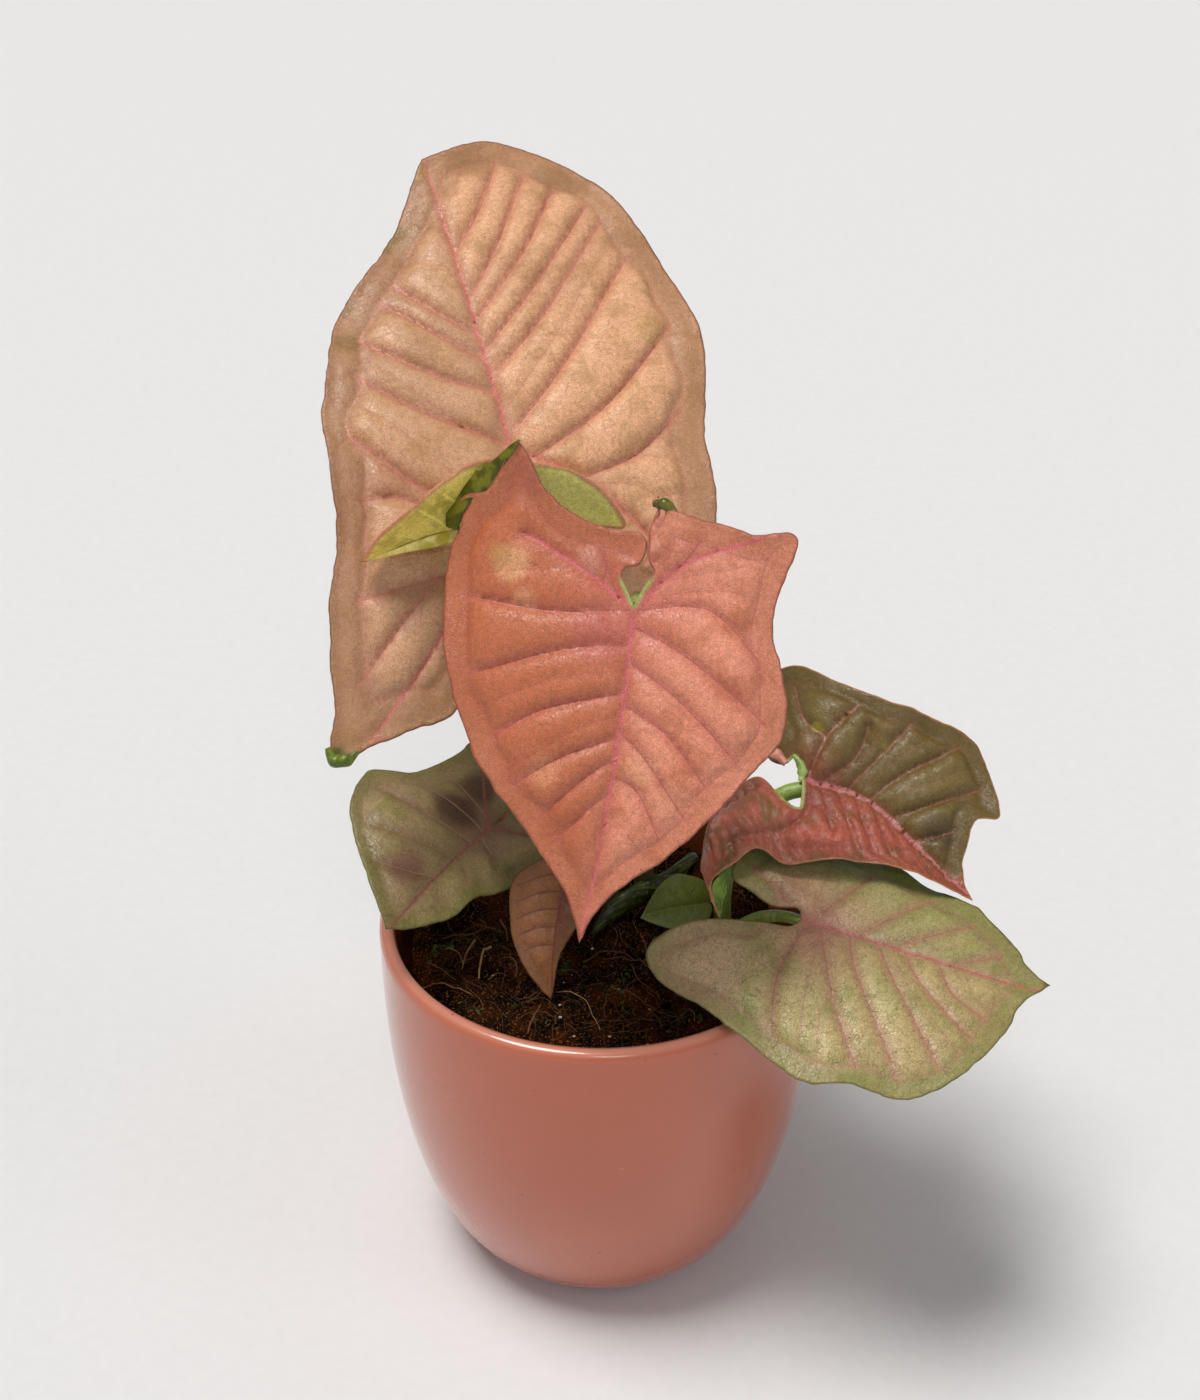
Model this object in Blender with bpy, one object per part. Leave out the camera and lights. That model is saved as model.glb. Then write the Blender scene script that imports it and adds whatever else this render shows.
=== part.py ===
"""Arrowhead plant in a glazed pot, in metres, +Z up.

The origin is the middle of the pot's foot, on the surface that the pot stands on.
+Y points away from the side that is seen first, and +X points to its right.
"""

import math

import bpy
import numpy as np
from mathutils import Vector
from mathutils.geometry import delaunay_2d_cdt

MM = 0.001
GAP = 0.0003
SMOOTH_BELOW = 40

POT_HEIGHT = 0.114
RIM_RADIUS = 0.064
FOOT_RADIUS = 0.031
POT_WALL = 0.0046
POT_FLOOR = 0.0070
FLOOR_CORNER = 0.0030
SIDE_FULLNESS = 2.4
SIDE_BULGE = 2.13
SIDE_RINGS = 13
LIP_STEPS = 6
POT_SIDES = 44

SOIL_TOP = 0.1055
ROOT_BALL_TOP_RADIUS = 0.0550
ROOT_BALL_TAPER = 0.10
SOIL_LUMPS = 0.0012
SOIL_RINGS = 7
HOLE_DEPTH = 0.022
LUMPS_ABOVE = 0.003

BLADE_THICKNESS = 0.0008
NOTCH = (0, -2.2)
ROW_PITCH = math.sqrt(3) / 2
WAVED_MARGIN = 0.35
STALK_SIDES = 10
STALK_STEPS = 16
SHOOT_STEP = 0.003

# A blade lies in its own flat frame before it is bent: x across it, y from the stalk to the tip,
# in millimetres, and every angle is in degrees. Its left and right outlines run from the notch at
# the stalk, round the lobe, to the tip at "end". at is the stalk's end in the pot's frame.
# heading is 0 towards +X and 90 towards +Y, pitch is how far the tip points up, and roll lifts the
# right half. tip, lobe and half are the reach that the bends are measured over: arch bends the tip
# half down, droop bends the lobes up, sweep carries the tip sideways. fold lifts each half, cup
# rolls it, and a set of three is the value at the lobes, stalk and tip. folds turn what lies beyond
# a line (x, y, way, turn, radius), bulges are puffed places (x, y, radius, rise), and waves are the
# height, number and start of the margin's waves. spacing is the size of its triangles.
LEAVES = {
    "leaf_back": {
        "at": (-23.9, 34.0, 244.9),
        "heading": 111, "pitch": 42, "roll": 0,
        "tip": 102, "lobe": 80, "half": 55, "arch": 14, "droop": -24, "sweep": 2,
        "fold": ((4, 6, -14), (4, 6, 2)), "cup": ((-8, -10, -10), (-8, -10, -10)),
        "left": [(-4, -10), (-11, -28), (-21, -52), (-31, -68), (-44, -71), (-58, -74), (-66, -75.5),
                 (-63, -61), (-59.5, -37), (-53.5, -18), (-51, 0), (-49.5, 16), (-44, 32),
                 (-37, 50), (-26, 62), (-15, 75), (-8, 87)],
        "right": [(4, -12), (10, -28), (19, -44), (30, -51), (41, -49), (49, -40), (53, -24),
                  (55.5, -6), (61, 11), (64, 27), (63, 43), (58, 61), (51, 81), (38, 96),
                  (21, 102.7), (7, 100.5)],
        "end": (-1, 99),
        "waves": (1.2, 9, 0.4), "spacing": 7.5, "colour": (0.50, 0.28, 0.17),
    },
    "leaf_front": {
        "at": (8.5, -26.6, 228.3),
        "heading": 262, "pitch": -52, "roll": 0,
        "tip": 87, "lobe": 44, "half": 44, "arch": 18, "droop": 14, "sweep": 8,
        "fold": ((14, 10, 8), (14, 10, 8)), "cup": (-30, -30),
        "left": [(-2.3, -4.5), (-4.6, -8.6), (-3.4, -11), (-3, -15), (-3.3, -20), (-5.2, -23.6),
                 (-3.6, -26.4), (-8, -24.6), (-18, -22.3), (-28.7, -20), (-39.6, -20), (-36.6, -6),
                 (-35.6, 4), (-39.6, 17), (-40.6, 31), (-32.7, 42.6), (-20, 59.4), (-8, 70.3),
                 (-2, 78.2)],
        "right": [(1.8, -3.5), (3.6, -7), (2.6, -9.5), (-0.4, -10.2), (-2.2, -13), (-2.3, -16.4),
                  (0, -18.4), (5, -18.8), (10, -19.5), (18, -22.8), (25, -28.7), (32.4, -39.5),
                  (36.7, -32), (40.2, -27.1), (46.6, -25.6), (48.9, -21.5), (47, -18.5),
                  (49.8, -14.1), (51.5, -5), (50.5, 4), (46.5, 22), (36.6, 40.6),
                  (20, 58.4), (8, 71.3), (3, 79.2)],
        "notch": (0, 0.2), "bulges": [(-10, -17, 7, 2.5)],
        "folds": [(42, -25, -31, -6, 2.5)],
        "end": (0, 86.6),
        "waves": (0.8, 8, 1.0), "spacing": 6.0, "colour": (0.55, 0.19, 0.14),
    },
    "leaf_young": {
        "at": (-13.9, 13.0, 231.8),
        "heading": 199, "pitch": 9, "roll": 0,
        "tip": 50, "lobe": 30, "half": 18, "arch": 24, "droop": -20, "sweep": 0,
        "fold": ((60, 62, 45), (55, 60, 45)), "cup": (25, 100),
        "left": [(-0.8, -7), (-1, -15), (-3, -21), (-10.6, -14), (-17.6, -4), (-20.8, 7),
                 (-23.3, 15), (-24.2, 22), (-20.5, 31), (-17.5, 36), (-15.5, 40), (-11, 46.5),
                 (-5.5, 49.3)],
        "right": [(1, -7), (2, -14), (6, -16), (10.7, -12.7), (14.5, -4), (15, 4), (15, 12),
                  (13.3, 21), (9.8, 30.5), (6, 40), (1.5, 47.5)],
        "end": (-1, 51.4),
        "waves": (0.3, 5, 0), "spacing": 4.5, "colour": (0.40, 0.36, 0.08),
    },
    "leaf_right_upper": {
        "at": (59.5, 12.0, 150.9),
        "heading": -35, "pitch": -15, "roll": -10,
        "tip": 58, "lobe": 36, "half": 36, "arch": 15, "droop": -80, "sweep": 0,
        "fold": ((35, 32, 20), (-10, 0, 20)), "cup": (-20, -20),
        "left": [(-1.5, -4.5), (-4.7, -6.8), (-1.4, -9), (-1.8, -14), (-6, -17), (-9.5, -14),
                 (-20, -22), (-30, -24), (-33, -16), (-30.5, -7), (-32, 2), (-37, 16), (-40, 29),
                 (-34, 40), (-26, 48), (-20, 44), (-12, 47), (-6, 50)],
        "right": [(4, 0.5), (9.5, 3), (8.6, -5), (6, -13.5), (12, -20), (20, -28), (30, -26),
                  (41, -12), (50, 5), (43, -4), (36, -1), (28, 2), (26, 11), (19, 20), (11, 32),
                  (5, 46)],
        "end": (-1, 57),
        "waves": (0.8, 7, 0), "spacing": 5.0, "colour": (0.28, 0.13, 0.08),
    },
    "leaf_right_lower": {
        "at": (57.3, -26.0, 129.9),
        "heading": -24, "pitch": -4, "roll": -15,
        "tip": 68, "lobe": 40, "half": 40, "arch": 16, "droop": 10, "sweep": -7,
        "fold": (6, 6), "cup": (-32, -20),
        "left": [(-2.5, -4), (-1, -11), (-3, -18), (-6, -25), (-15, -25), (-25, -19), (-30, -6),
                 (-30, 8), (-28, 20), (-25, 31), (-21.5, 44), (-13, 55.5), (-7, 59.5)],
        "right": [(4.5, -4), (6, -11), (11, -23), (19, -33), (29, -36), (35, -29.5), (37, -17),
                  (44, 4), (47.5, 18), (44, 28), (44, 41), (36, 51.5), (20, 59), (5, 62)],
        "end": (-3, 67),
        "waves": (0.8, 9, 2.0), "spacing": 6.0, "colour": (0.33, 0.26, 0.12),
    },
    "leaf_left": {
        "at": (-31.7, 4.0, 139.8),
        "heading": 238, "pitch": 2, "roll": 30,
        "tip": 46, "lobe": 28, "half": 34, "arch": 22, "droop": 0, "sweep": -3,
        "fold": (-14, 4), "cup": (-30, -25),
        "left": [(-0.3, -6), (-0.5, -15), (-8, -21), (-17, -19), (-19, -8), (-16, 10), (-12, 20),
                 (-11.5, 28), (-7, 37), (-3.5, 42.5)],
        "right": [(0.6, -7), (1.0, -17), (11, -26), (23, -24), (24, -12), (28, 0), (34, 6),
                  (37.5, 12), (33, 25), (20, 36), (8, 43)],
        "end": (1, 46.5),
        "waves": (0.8, 6, 0), "spacing": 5.0, "colour": (0.20, 0.20, 0.09),
    },
    "leaf_small": {
        "at": (-8.8, -7.0, 134.0),
        "heading": 250, "pitch": -36, "roll": 0,
        "tip": 38, "lobe": 8, "half": 14, "arch": 26, "droop": 0, "sweep": -5,
        "fold": (20, 20), "cup": (-30, -30),
        "left": [(-3, -3), (-7, -2), (-10, 4), (-9, 12), (-5, 19), (-1.5, 27), (-0.5, 33)],
        "right": [(3, -3), (8, -1), (13, 4), (15, 10), (13, 21), (8.5, 30), (4, 35)],
        "end": (0.5, 37),
        "waves": (0.3, 5, 0), "spacing": 4.0, "colour": (0.26, 0.12, 0.08),
    },
    "shoot_bright": {
        "at": (30.0, 5.0, 112.5),
        "heading": 193, "pitch": 2, "roll": 0,
        "tip": 19, "lobe": 4, "half": 8, "arch": 10, "droop": 0, "sweep": 0,
        "fold": (-8, 62), "cup": (-20, -30),
        "left": [(-2, -2.5), (-6, 0), (-7.5, 5), (-7, 11), (-4, 16)],
        "right": [(2, -3), (7, -1), (10, 5), (9, 9), (5, 14)],
        "end": (-1, 19),
        "waves": (0.2, 3, 0), "spacing": 3.0, "colour": (0.13, 0.20, 0.03),
    },
}

# Each stalk stands in the soil at foot (x, y), leans towards a heading by some degrees, and ends
# under its blade. reach is how strongly it keeps its two end directions, and arrival how far it
# comes in from the side and from below. radius is at the foot and at the blade.
STALKS = {
    "stalk_back": {"blade": "leaf_back", "foot": (3, 24), "lean": (140, 3), "reach": (50, 34),
                   "arrival": (0, 40), "radius": (2.9, 1.8)},
    "stalk_front": {"blade": "leaf_front", "foot": (13, 21), "lean": (265, 10), "reach": (60, 22),
                    "arrival": (0, 40), "radius": (2.8, 1.7)},
    "stalk_young": {"blade": "leaf_young", "foot": (3, 14), "lean": (150, 4), "reach": (60, 16),
                    "arrival": (0, 40), "radius": (2.4, 1.2)},
    "stalk_right_upper": {"blade": "leaf_right_upper", "foot": (36, 4.5), "lean": (114, 8),
                          "reach": (22, 13), "arrival": (-35, 10), "radius": (2.3, 2.4)},
    "stalk_right_lower": {"blade": "leaf_right_lower", "foot": (38, -8), "lean": (-20, 6),
                          "reach": (10, 12), "arrival": (38, 20), "radius": (2.1, 1.5)},
    "stalk_left": {"blade": "leaf_left", "foot": (-8, 22), "lean": (150, 8), "reach": (16, 12),
                   "arrival": (0, 40), "radius": (2.0, 1.3)},
    "stalk_small": {"blade": "leaf_small", "foot": (-3, 12), "lean": (180, 6), "reach": (14, 7),
                    "arrival": (0, 40), "radius": (1.6, 1.0)},
    "stalk_bright": {"blade": "shoot_bright", "foot": (31, 11), "lean": (250, 5),
                     "reach": (2, 2.5), "arrival": (0, 40), "radius": (1.2, 0.8)},
}

# The rolled young leaf is a spindle along a few points, with radii from its foot to its tip.
ROLLED_SHOOT = {
    "name": "shoot_dark",
    "foot": (27, 28), "lean": (20, 4),
    "points": [(28, 23.5, 116), (25, 17.5, 117.5), (20, 12.6, 115.7), (13, 9.5, 114),
               (7, 5.5, 112.8), (2, 0, 111.2), (-2.2, -5.5, 109.4)],
    "radii": (1.5, 1.6, 1.9, 2.8, 3.3, 3.1, 2.2, 0.5),
}

COLOURS = {
    "glaze": (0.43, 0.15, 0.11),
    "peat": (0.030, 0.018, 0.010),
    "stalk": (0.20, 0.30, 0.07),
    "shoot": (0.06, 0.09, 0.01),
}


def clear_scene():
    for thing in list(bpy.data.objects):
        bpy.data.objects.remove(thing, do_unlink=True)


def material(name, colour, roughness, metallic=0.0):
    made = bpy.data.materials.new(name)
    made.use_nodes = True
    shader = made.node_tree.nodes["Principled BSDF"]
    shader.inputs["Base Color"].default_value = (*colour, 1.0)
    shader.inputs["Roughness"].default_value = roughness
    shader.inputs["Metallic"].default_value = metallic
    return made


def add_object(name, mesh, finish):
    mesh.materials.append(finish)
    made = bpy.data.objects.new(name, mesh)
    bpy.context.scene.collection.objects.link(made)
    return made


def mesh_from(name, points, faces):
    mesh = bpy.data.meshes.new(name)
    mesh.from_pydata([tuple(p) for p in points], [], faces)
    mesh.validate()
    mesh.shade_smooth()
    mesh.set_sharp_from_angle(angle=math.radians(SMOOTH_BELOW))
    return mesh


def outer_radius(z):
    rise = 1 - (1 - z / POT_HEIGHT) ** SIDE_FULLNESS
    return FOOT_RADIUS + (RIM_RADIUS - FOOT_RADIUS) * rise ** (1 / SIDE_BULGE)


def side_profile():
    """Outer wall from near the foot to below the lip, closer together where it curves most."""
    turns = [math.pi / 2 * k / SIDE_RINGS for k in range(1, SIDE_RINGS + 1)]
    heights = [POT_HEIGHT * (1 - math.cos(turn)) for turn in turns]
    return [(outer_radius(z), z) for z in heights if z < POT_HEIGHT - POT_WALL]


def inside_profile():
    """Inner wall from the edge of the floor to below the lip."""
    wall = [(r - POT_WALL, z) for r, z in side_profile() if z > POT_FLOOR + FLOOR_CORNER / 2]
    return [(outer_radius(POT_FLOOR) - POT_WALL - FLOOR_CORNER, POT_FLOOR)] + wall


def pot_profile():
    """Half section from the middle of the inner floor, up and over the lip, to the foot."""
    bead = POT_WALL / 2
    lip = []
    for step in range(LIP_STEPS + 1):
        turn = math.pi * (1 - step / LIP_STEPS)
        lip.append((RIM_RADIUS - bead + bead * math.cos(turn), POT_HEIGHT - bead + bead * math.sin(turn)))
    outside = side_profile()[::-1] + [(FOOT_RADIUS, 0), (0, 0)]
    return [(0, POT_FLOOR)] + inside_profile() + lip + outside


def turned(name, profile, finish):
    """A solid of revolution, by a Screw modifier on a half section."""
    mesh = bpy.data.meshes.new(name)
    edges = [(k, k + 1) for k in range(len(profile) - 1)]
    mesh.from_pydata([(r, 0, z) for r, z in profile], edges, [])
    made = add_object(name, mesh, finish)
    screw = made.modifiers.new("turn", "SCREW")
    screw.steps = POT_SIDES
    screw.render_steps = POT_SIDES
    screw.use_merge_vertices = True
    screw.merge_threshold = 0.00001
    screw.use_smooth_shade = True
    return made


def lumps(x, y):
    """Uneven top of the soil, as a few crossed waves."""
    wide = math.sin(x * 95 + 0.6) * math.cos(y * 80 - 0.3)
    fine = math.sin(x * 210 - y * 130 + 1.7) + math.cos(y * 240 + x * 90)
    return SOIL_LUMPS * (wide + 0.45 * fine)


def root_ball(finish):
    """The plug of soil: a lumpy top, a slightly tapered side, and the pot's curve lower down."""
    rings = [(ROOT_BALL_TOP_RADIUS * k / SOIL_RINGS, SOIL_TOP) for k in range(1, SOIL_RINGS + 1)]
    for r, z in inside_profile()[::-1]:
        if z < SOIL_TOP - 2 * LUMPS_ABOVE:
            taper = ROOT_BALL_TOP_RADIUS - ROOT_BALL_TAPER * (SOIL_TOP - z)
            rings.append((min(taper, r - 2 * GAP), z + GAP))
    floor = rings[-1][1]
    points = [(0, 0, SOIL_TOP + lumps(0, 0))]
    for number, (r, z) in enumerate(rings):
        for k in range(POT_SIDES):
            turn = math.tau * k / POT_SIDES
            x, y = r * math.cos(turn), r * math.sin(turn)
            points.append((x, y, z + (lumps(x, y) if number < SOIL_RINGS else 0)))
    points.append((0, 0, floor))
    faces = []
    for k in range(POT_SIDES):
        after = (k + 1) % POT_SIDES
        faces.append((0, 1 + k, 1 + after))
        for ring in range(len(rings) - 1):
            a = 1 + ring * POT_SIDES
            b = a + POT_SIDES
            faces.append((a + k, b + k, b + after, a + after))
        last = 1 + (len(rings) - 1) * POT_SIDES
        faces.append((len(points) - 1, last + after, last + k))
    return add_object("soil", mesh_from("soil", points, faces), finish)


def eased(t):
    t = np.clip(t, 0, 1)
    return t * t * (3 - 2 * t)


def along_blade(value, y, leaf):
    """One number, or three: at the lobes, at the stalk and at the tip."""
    if np.isscalar(value):
        return np.full_like(y, float(value))
    lobe, stalk, tip = value
    return stalk + (tip - stalk) * eased(y / leaf["tip"]) + (lobe - stalk) * eased(-y / leaf["lobe"])


def turn_beyond(flat, lift, fold):
    """Rolls what lies beyond a line up or down: point, way across the line, turn and radius."""
    x, y, toward, turn, radius = fold
    way = np.array([math.cos(math.radians(toward)), math.sin(math.radians(toward))])
    beyond = (flat - (x, y)) @ way
    angle = np.clip(beyond / radius, 0, abs(math.radians(turn)))
    rest = beyond - angle * radius
    sign = math.copysign(1, turn)
    run = radius * np.sin(angle) + rest * np.cos(angle)
    rise = sign * (radius * (1 - np.cos(angle)) + rest * np.sin(angle))
    flat = flat + (run - beyond - sign * np.sin(angle) * lift)[:, None] * way
    return flat, rise + lift * np.cos(angle)


def bent(flat, lift, leaf):
    """Carries flat points, with their lift off the flat, to the blade's bent form in millimetres."""
    flat = flat.copy()
    flat[:, 0] += leaf["sweep"] * np.clip(flat[:, 1] / leaf["tip"], 0, None) ** 2
    for fold in leaf.get("folds", []):
        flat, lift = turn_beyond(flat, lift, fold)
    x, y = flat[:, 0], flat[:, 1]
    right = x >= 0
    fold = np.where(right, along_blade(leaf["fold"][1], y, leaf), along_blade(leaf["fold"][0], y, leaf))
    cup = np.where(right, along_blade(leaf["cup"][1], y, leaf), along_blade(leaf["cup"][0], y, leaf))
    start = np.radians(fold)
    curl = np.radians(cup) / leaf["half"]
    curl = np.where(np.abs(curl) < 1e-6, 1e-6, curl)
    angle = start + curl * np.abs(x)
    across = (np.sin(angle) - np.sin(start)) / curl - np.sin(angle) * lift
    across = np.where(right, across, -across)
    up = (np.cos(start) - np.cos(angle)) / curl + np.cos(angle) * lift
    bend = np.where(y >= 0, -math.radians(leaf["arch"]) / leaf["tip"],
                    math.radians(leaf["droop"]) / leaf["lobe"])
    bend = np.where(np.abs(bend) < 1e-6, 1e-6, bend)
    lean = bend * y
    ahead = np.sin(lean) / bend - up * np.sin(lean)
    rise = (1 - np.cos(lean)) / bend + up * np.cos(lean)
    return np.stack([across, ahead, rise], -1)


def blade_axes(leaf):
    """Right, tip and upper-side directions of a blade."""
    h, p, r = (math.radians(leaf[key]) for key in ("heading", "pitch", "roll"))
    ahead = np.array([math.cos(h) * math.cos(p), math.sin(h) * math.cos(p), math.sin(p)])
    level = np.array([math.sin(h), -math.cos(h), 0])
    up = np.cross(level, ahead)
    right = level * math.cos(r) + up * math.sin(r)
    return right, ahead, up * math.cos(r) - level * math.sin(r)


def placed(flat, lift, leaf):
    local = bent(flat, lift, leaf)
    right, ahead, up = blade_axes(leaf)
    world = local[:, 0:1] * right + local[:, 1:2] * ahead + local[:, 2:3] * up
    return (world + leaf["at"]) * MM


def curve_through(points, spacing):
    """Points of a smooth curve through the given ones, about one spacing apart."""
    ends = [2 * points[0] - points[1]] + list(points) + [2 * points[-1] - points[-2]]
    made = []
    for a, b, c, d in zip(ends, ends[1:], ends[2:], ends[3:]):
        steps = max(1, round(float(np.linalg.norm(c - b)) / spacing))
        for k in range(steps):
            t = k / steps
            made.append(0.5 * (2 * b + (c - a) * t + (2 * a - 5 * b + 4 * c - d) * t ** 2
                               + (3 * b - a - 3 * c + d) * t ** 3))
    return made


def blade_outline(leaf, spacing):
    """Closed outline, from the notch round the right lobe to the tip, and back on the left."""
    notch = np.array(leaf.get("notch", NOTCH), float)
    tip = np.array(leaf["end"], float)
    right = curve_through([notch] + [np.array(p, float) for p in leaf["right"]] + [tip], spacing)
    left = curve_through([tip] + [np.array(p, float) for p in leaf["left"][::-1]] + [notch], spacing)
    return np.array(right + left)


def distance_to(points, line):
    """Least distance of each point to a closed line of points."""
    after = np.roll(line, -1, axis=0) - line
    ahead = points[:, None] - line[None]
    t = np.clip((ahead * after).sum(-1) / (after ** 2).sum(-1), 0, 1)
    return np.linalg.norm(ahead - t[..., None] * after, axis=-1).min(axis=1)


def is_inside(points, line):
    x, y = points[:, 0:1], points[:, 1:2]
    after = np.roll(line, -1, axis=0)
    spans = (line[:, 1] > y) != (after[:, 1] > y)
    rise = np.where(after[:, 1] == line[:, 1], 1e-9, after[:, 1] - line[:, 1])
    hit = x < (after[:, 0] - line[:, 0]) * (y - line[:, 1]) / rise + line[:, 0]
    return (spans & hit).sum(axis=1) % 2 == 1


def split_blade(outline, spacing):
    """Triangles of the flat blade, with one row of points along its middle."""
    low, high = outline.min(axis=0), outline.max(axis=0)
    grid = []
    for row, y in enumerate(np.arange(low[1], high[1], spacing * ROW_PITCH)):
        for x in np.arange(low[0] - spacing, high[0] + spacing, spacing):
            grid.append((x + spacing / 2 * (row % 2), y))
    grid = np.array(grid)
    keep = is_inside(grid, outline) & (distance_to(grid, outline) > spacing * 0.6)
    keep &= np.abs(grid[:, 0]) > spacing * 0.5
    rib = [(0.0, y) for y in np.arange(outline[0, 1] + spacing, high[1] - spacing, spacing)]
    points = [Vector(p) for p in list(outline) + list(grid[keep]) + rib]
    first = len(points) - len(rib)
    edges = [(k, k + 1) for k in range(first, len(points) - 1)]
    inside_loop = 1
    found = delaunay_2d_cdt(points, edges, [list(range(len(outline)))], inside_loop, 1e-5)
    return np.array([tuple(p) for p in found[0]]), [tuple(face) for face in found[2]]


def blade_lift(flat, outline, leaf):
    """Waves of the margin and puffed places, in millimetres off the flat."""
    height, count, phase = leaf["waves"]
    reach = WAVED_MARGIN * leaf["half"]
    close = np.clip(1 - distance_to(flat, outline) / reach, 0, 1)
    bearing = np.arctan2(flat[:, 0], flat[:, 1] - 0.2 * leaf["tip"])
    lift = height * close ** 2 * np.sin(count * bearing + phase)
    for x, y, radius, rise in leaf.get("bulges", []):
        lift += rise * np.exp(-((flat[:, 0] - x) ** 2 + (flat[:, 1] - y) ** 2) / radius ** 2)
    return lift


def blade(name, leaf, finish):
    """A leaf blade: the same triangles on both faces, and a rim between them."""
    outline = blade_outline(leaf, leaf["spacing"])
    flat, triangles = split_blade(outline, leaf["spacing"])
    middle = placed(flat, blade_lift(flat, outline, leaf), leaf)
    corners = np.array(triangles)
    facing = np.cross(middle[corners[:, 1]] - middle[corners[:, 0]],
                      middle[corners[:, 2]] - middle[corners[:, 0]])
    normals = np.zeros_like(middle)
    for corner in range(3):
        np.add.at(normals, corners[:, corner], facing)
    normals /= np.linalg.norm(normals, axis=1)[:, None]
    half = normals * BLADE_THICKNESS / 2
    count = len(middle)
    faces = list(triangles) + [(c + count, b + count, a + count) for a, b, c in triangles]
    sides = {(t[k], t[(k + 1) % 3]) for t in triangles for k in range(3)}
    for a, b in sorted(sides):
        if (b, a) not in sides:
            faces.append((b, a, a + count))
            faces.append((b, a + count, b + count))
    mesh = mesh_from(name, np.vstack([middle + half, middle - half]), faces)
    return add_object(name, mesh, finish)


def direction(heading, lean):
    """A unit vector that leans away from upright towards a heading, in degrees."""
    h, tilt = math.radians(heading), math.radians(lean)
    return np.array([math.cos(h) * math.sin(tilt), math.sin(h) * math.sin(tilt), math.cos(tilt)])


def tube(name, line, radii, finish):
    """A closed tube along points, with its own radius at each of them."""
    line = np.array(line)
    ways = np.gradient(line, axis=0)
    ways /= np.linalg.norm(ways, axis=1)[:, None]
    across = np.cross(ways[0], (0.0, 1.0, 0.0))
    points, faces = [], []
    for centre, way, radius in zip(line, ways, radii):
        across = across - way * (across @ way)
        across /= np.linalg.norm(across)
        other = np.cross(way, across)
        for k in range(STALK_SIDES):
            turn = math.tau * k / STALK_SIDES
            points.append(centre + radius * (math.cos(turn) * across + math.sin(turn) * other))
    last = len(points) - STALK_SIDES
    for start in range(0, last, STALK_SIDES):
        for k in range(STALK_SIDES):
            after = (k + 1) % STALK_SIDES
            ahead = start + STALK_SIDES
            faces.append((start + k, start + after, ahead + after, ahead + k))
    faces.append(tuple(range(STALK_SIDES))[::-1])
    faces.append(tuple(range(last, len(points))))
    return add_object(name, mesh_from(name, points, faces), finish)


def foot_points(foot, lean):
    """The bottom of a stalk in the soil, and where it leaves the soil, in metres."""
    way = direction(*lean)
    leaves_soil = np.array([foot[0] * MM, foot[1] * MM, SOIL_TOP + LUMPS_ABOVE])
    return leaves_soil - way * HOLE_DEPTH / way[2], leaves_soil, way


def bore(soil, name, foot, lean, radius):
    """Cuts a plain straight hole for a stalk."""
    bottom, leaves_soil, way = foot_points(foot, lean)
    line = [bottom - way * GAP, leaves_soil + way * 2 * LUMPS_ABOVE]
    cutter = tube(name + "_hole", line, (radius + GAP, radius + GAP), None)
    cutter.hide_render = True
    cutter.display_type = "WIRE"
    cut = soil.modifiers.new(name, "BOOLEAN")
    cut.operation = "DIFFERENCE"
    cut.solver = "EXACT"
    cut.object = cutter


def stalk(name, spec, soil, finish):
    """A leaf stalk: straight in its hole, then one smooth bend up to its blade."""
    leaf = LEAVES[spec["blade"]]
    right, ahead, up = blade_axes(leaf)
    bottom, leaves_soil, way = foot_points(spec["foot"], spec["lean"])
    base, top = (value * MM for value in spec["radius"])
    first, last = (value * MM for value in spec["reach"])
    swing, climb = (math.radians(value) for value in spec["arrival"])
    below = BLADE_THICKNESS / 2 + 3 * GAP + top * math.cos(climb)
    end = np.array(leaf["at"]) * MM - up * below
    level_way = ahead * math.cos(swing) + right * math.sin(swing)
    last_way = level_way * math.cos(climb) + up * math.sin(climb)
    a, b, c, d = leaves_soil, leaves_soil + way * first, end - last_way * last, end
    bend = [a * (1 - t) ** 3 + 3 * b * t * (1 - t) ** 2 + 3 * c * t ** 2 * (1 - t) + d * t ** 3
            for t in np.linspace(0, 1, STALK_STEPS + 1)]
    radii = [base] + list(np.linspace(base, top, STALK_STEPS + 1))
    bore(soil, name, spec["foot"], spec["lean"], base)
    return tube(name, [bottom] + bend, radii, finish)


def rolled_shoot(spec, soil, finish):
    bottom, leaves_soil, way = foot_points(spec["foot"], spec["lean"])
    base = spec["radii"][0] * MM
    points = [leaves_soil] + [np.array(p) * MM for p in spec["points"]]
    line = curve_through(points, SHOOT_STEP) + [points[-1]]
    places = np.linspace(0, len(spec["radii"]) - 1, len(line))
    radii = np.interp(places, range(len(spec["radii"])), spec["radii"]) * MM
    bore(soil, spec["name"], spec["foot"], spec["lean"], base)
    return tube(spec["name"], [bottom] + line, [base] + list(radii), finish)


def main():
    clear_scene()
    turned("pot", pot_profile(), material("rose_glaze", COLOURS["glaze"], 0.12))
    soil = root_ball(material("peat", COLOURS["peat"], 0.95))
    stalk_green = material("stalk_green", COLOURS["stalk"], 0.45)
    for name, leaf in LEAVES.items():
        blade(name, leaf, material(name, leaf["colour"], 0.45))
    for name, spec in STALKS.items():
        stalk(name, spec, soil, stalk_green)
    rolled_shoot(ROLLED_SHOOT, soil, material("shoot_green", COLOURS["shoot"], 0.4))


main()
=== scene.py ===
# Arrowhead plant in a rose glazed pot. The finish of every piece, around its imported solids.
import math

import bpy
import numpy as np
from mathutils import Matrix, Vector, noise
from mathutils.geometry import delaunay_2d_cdt


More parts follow.
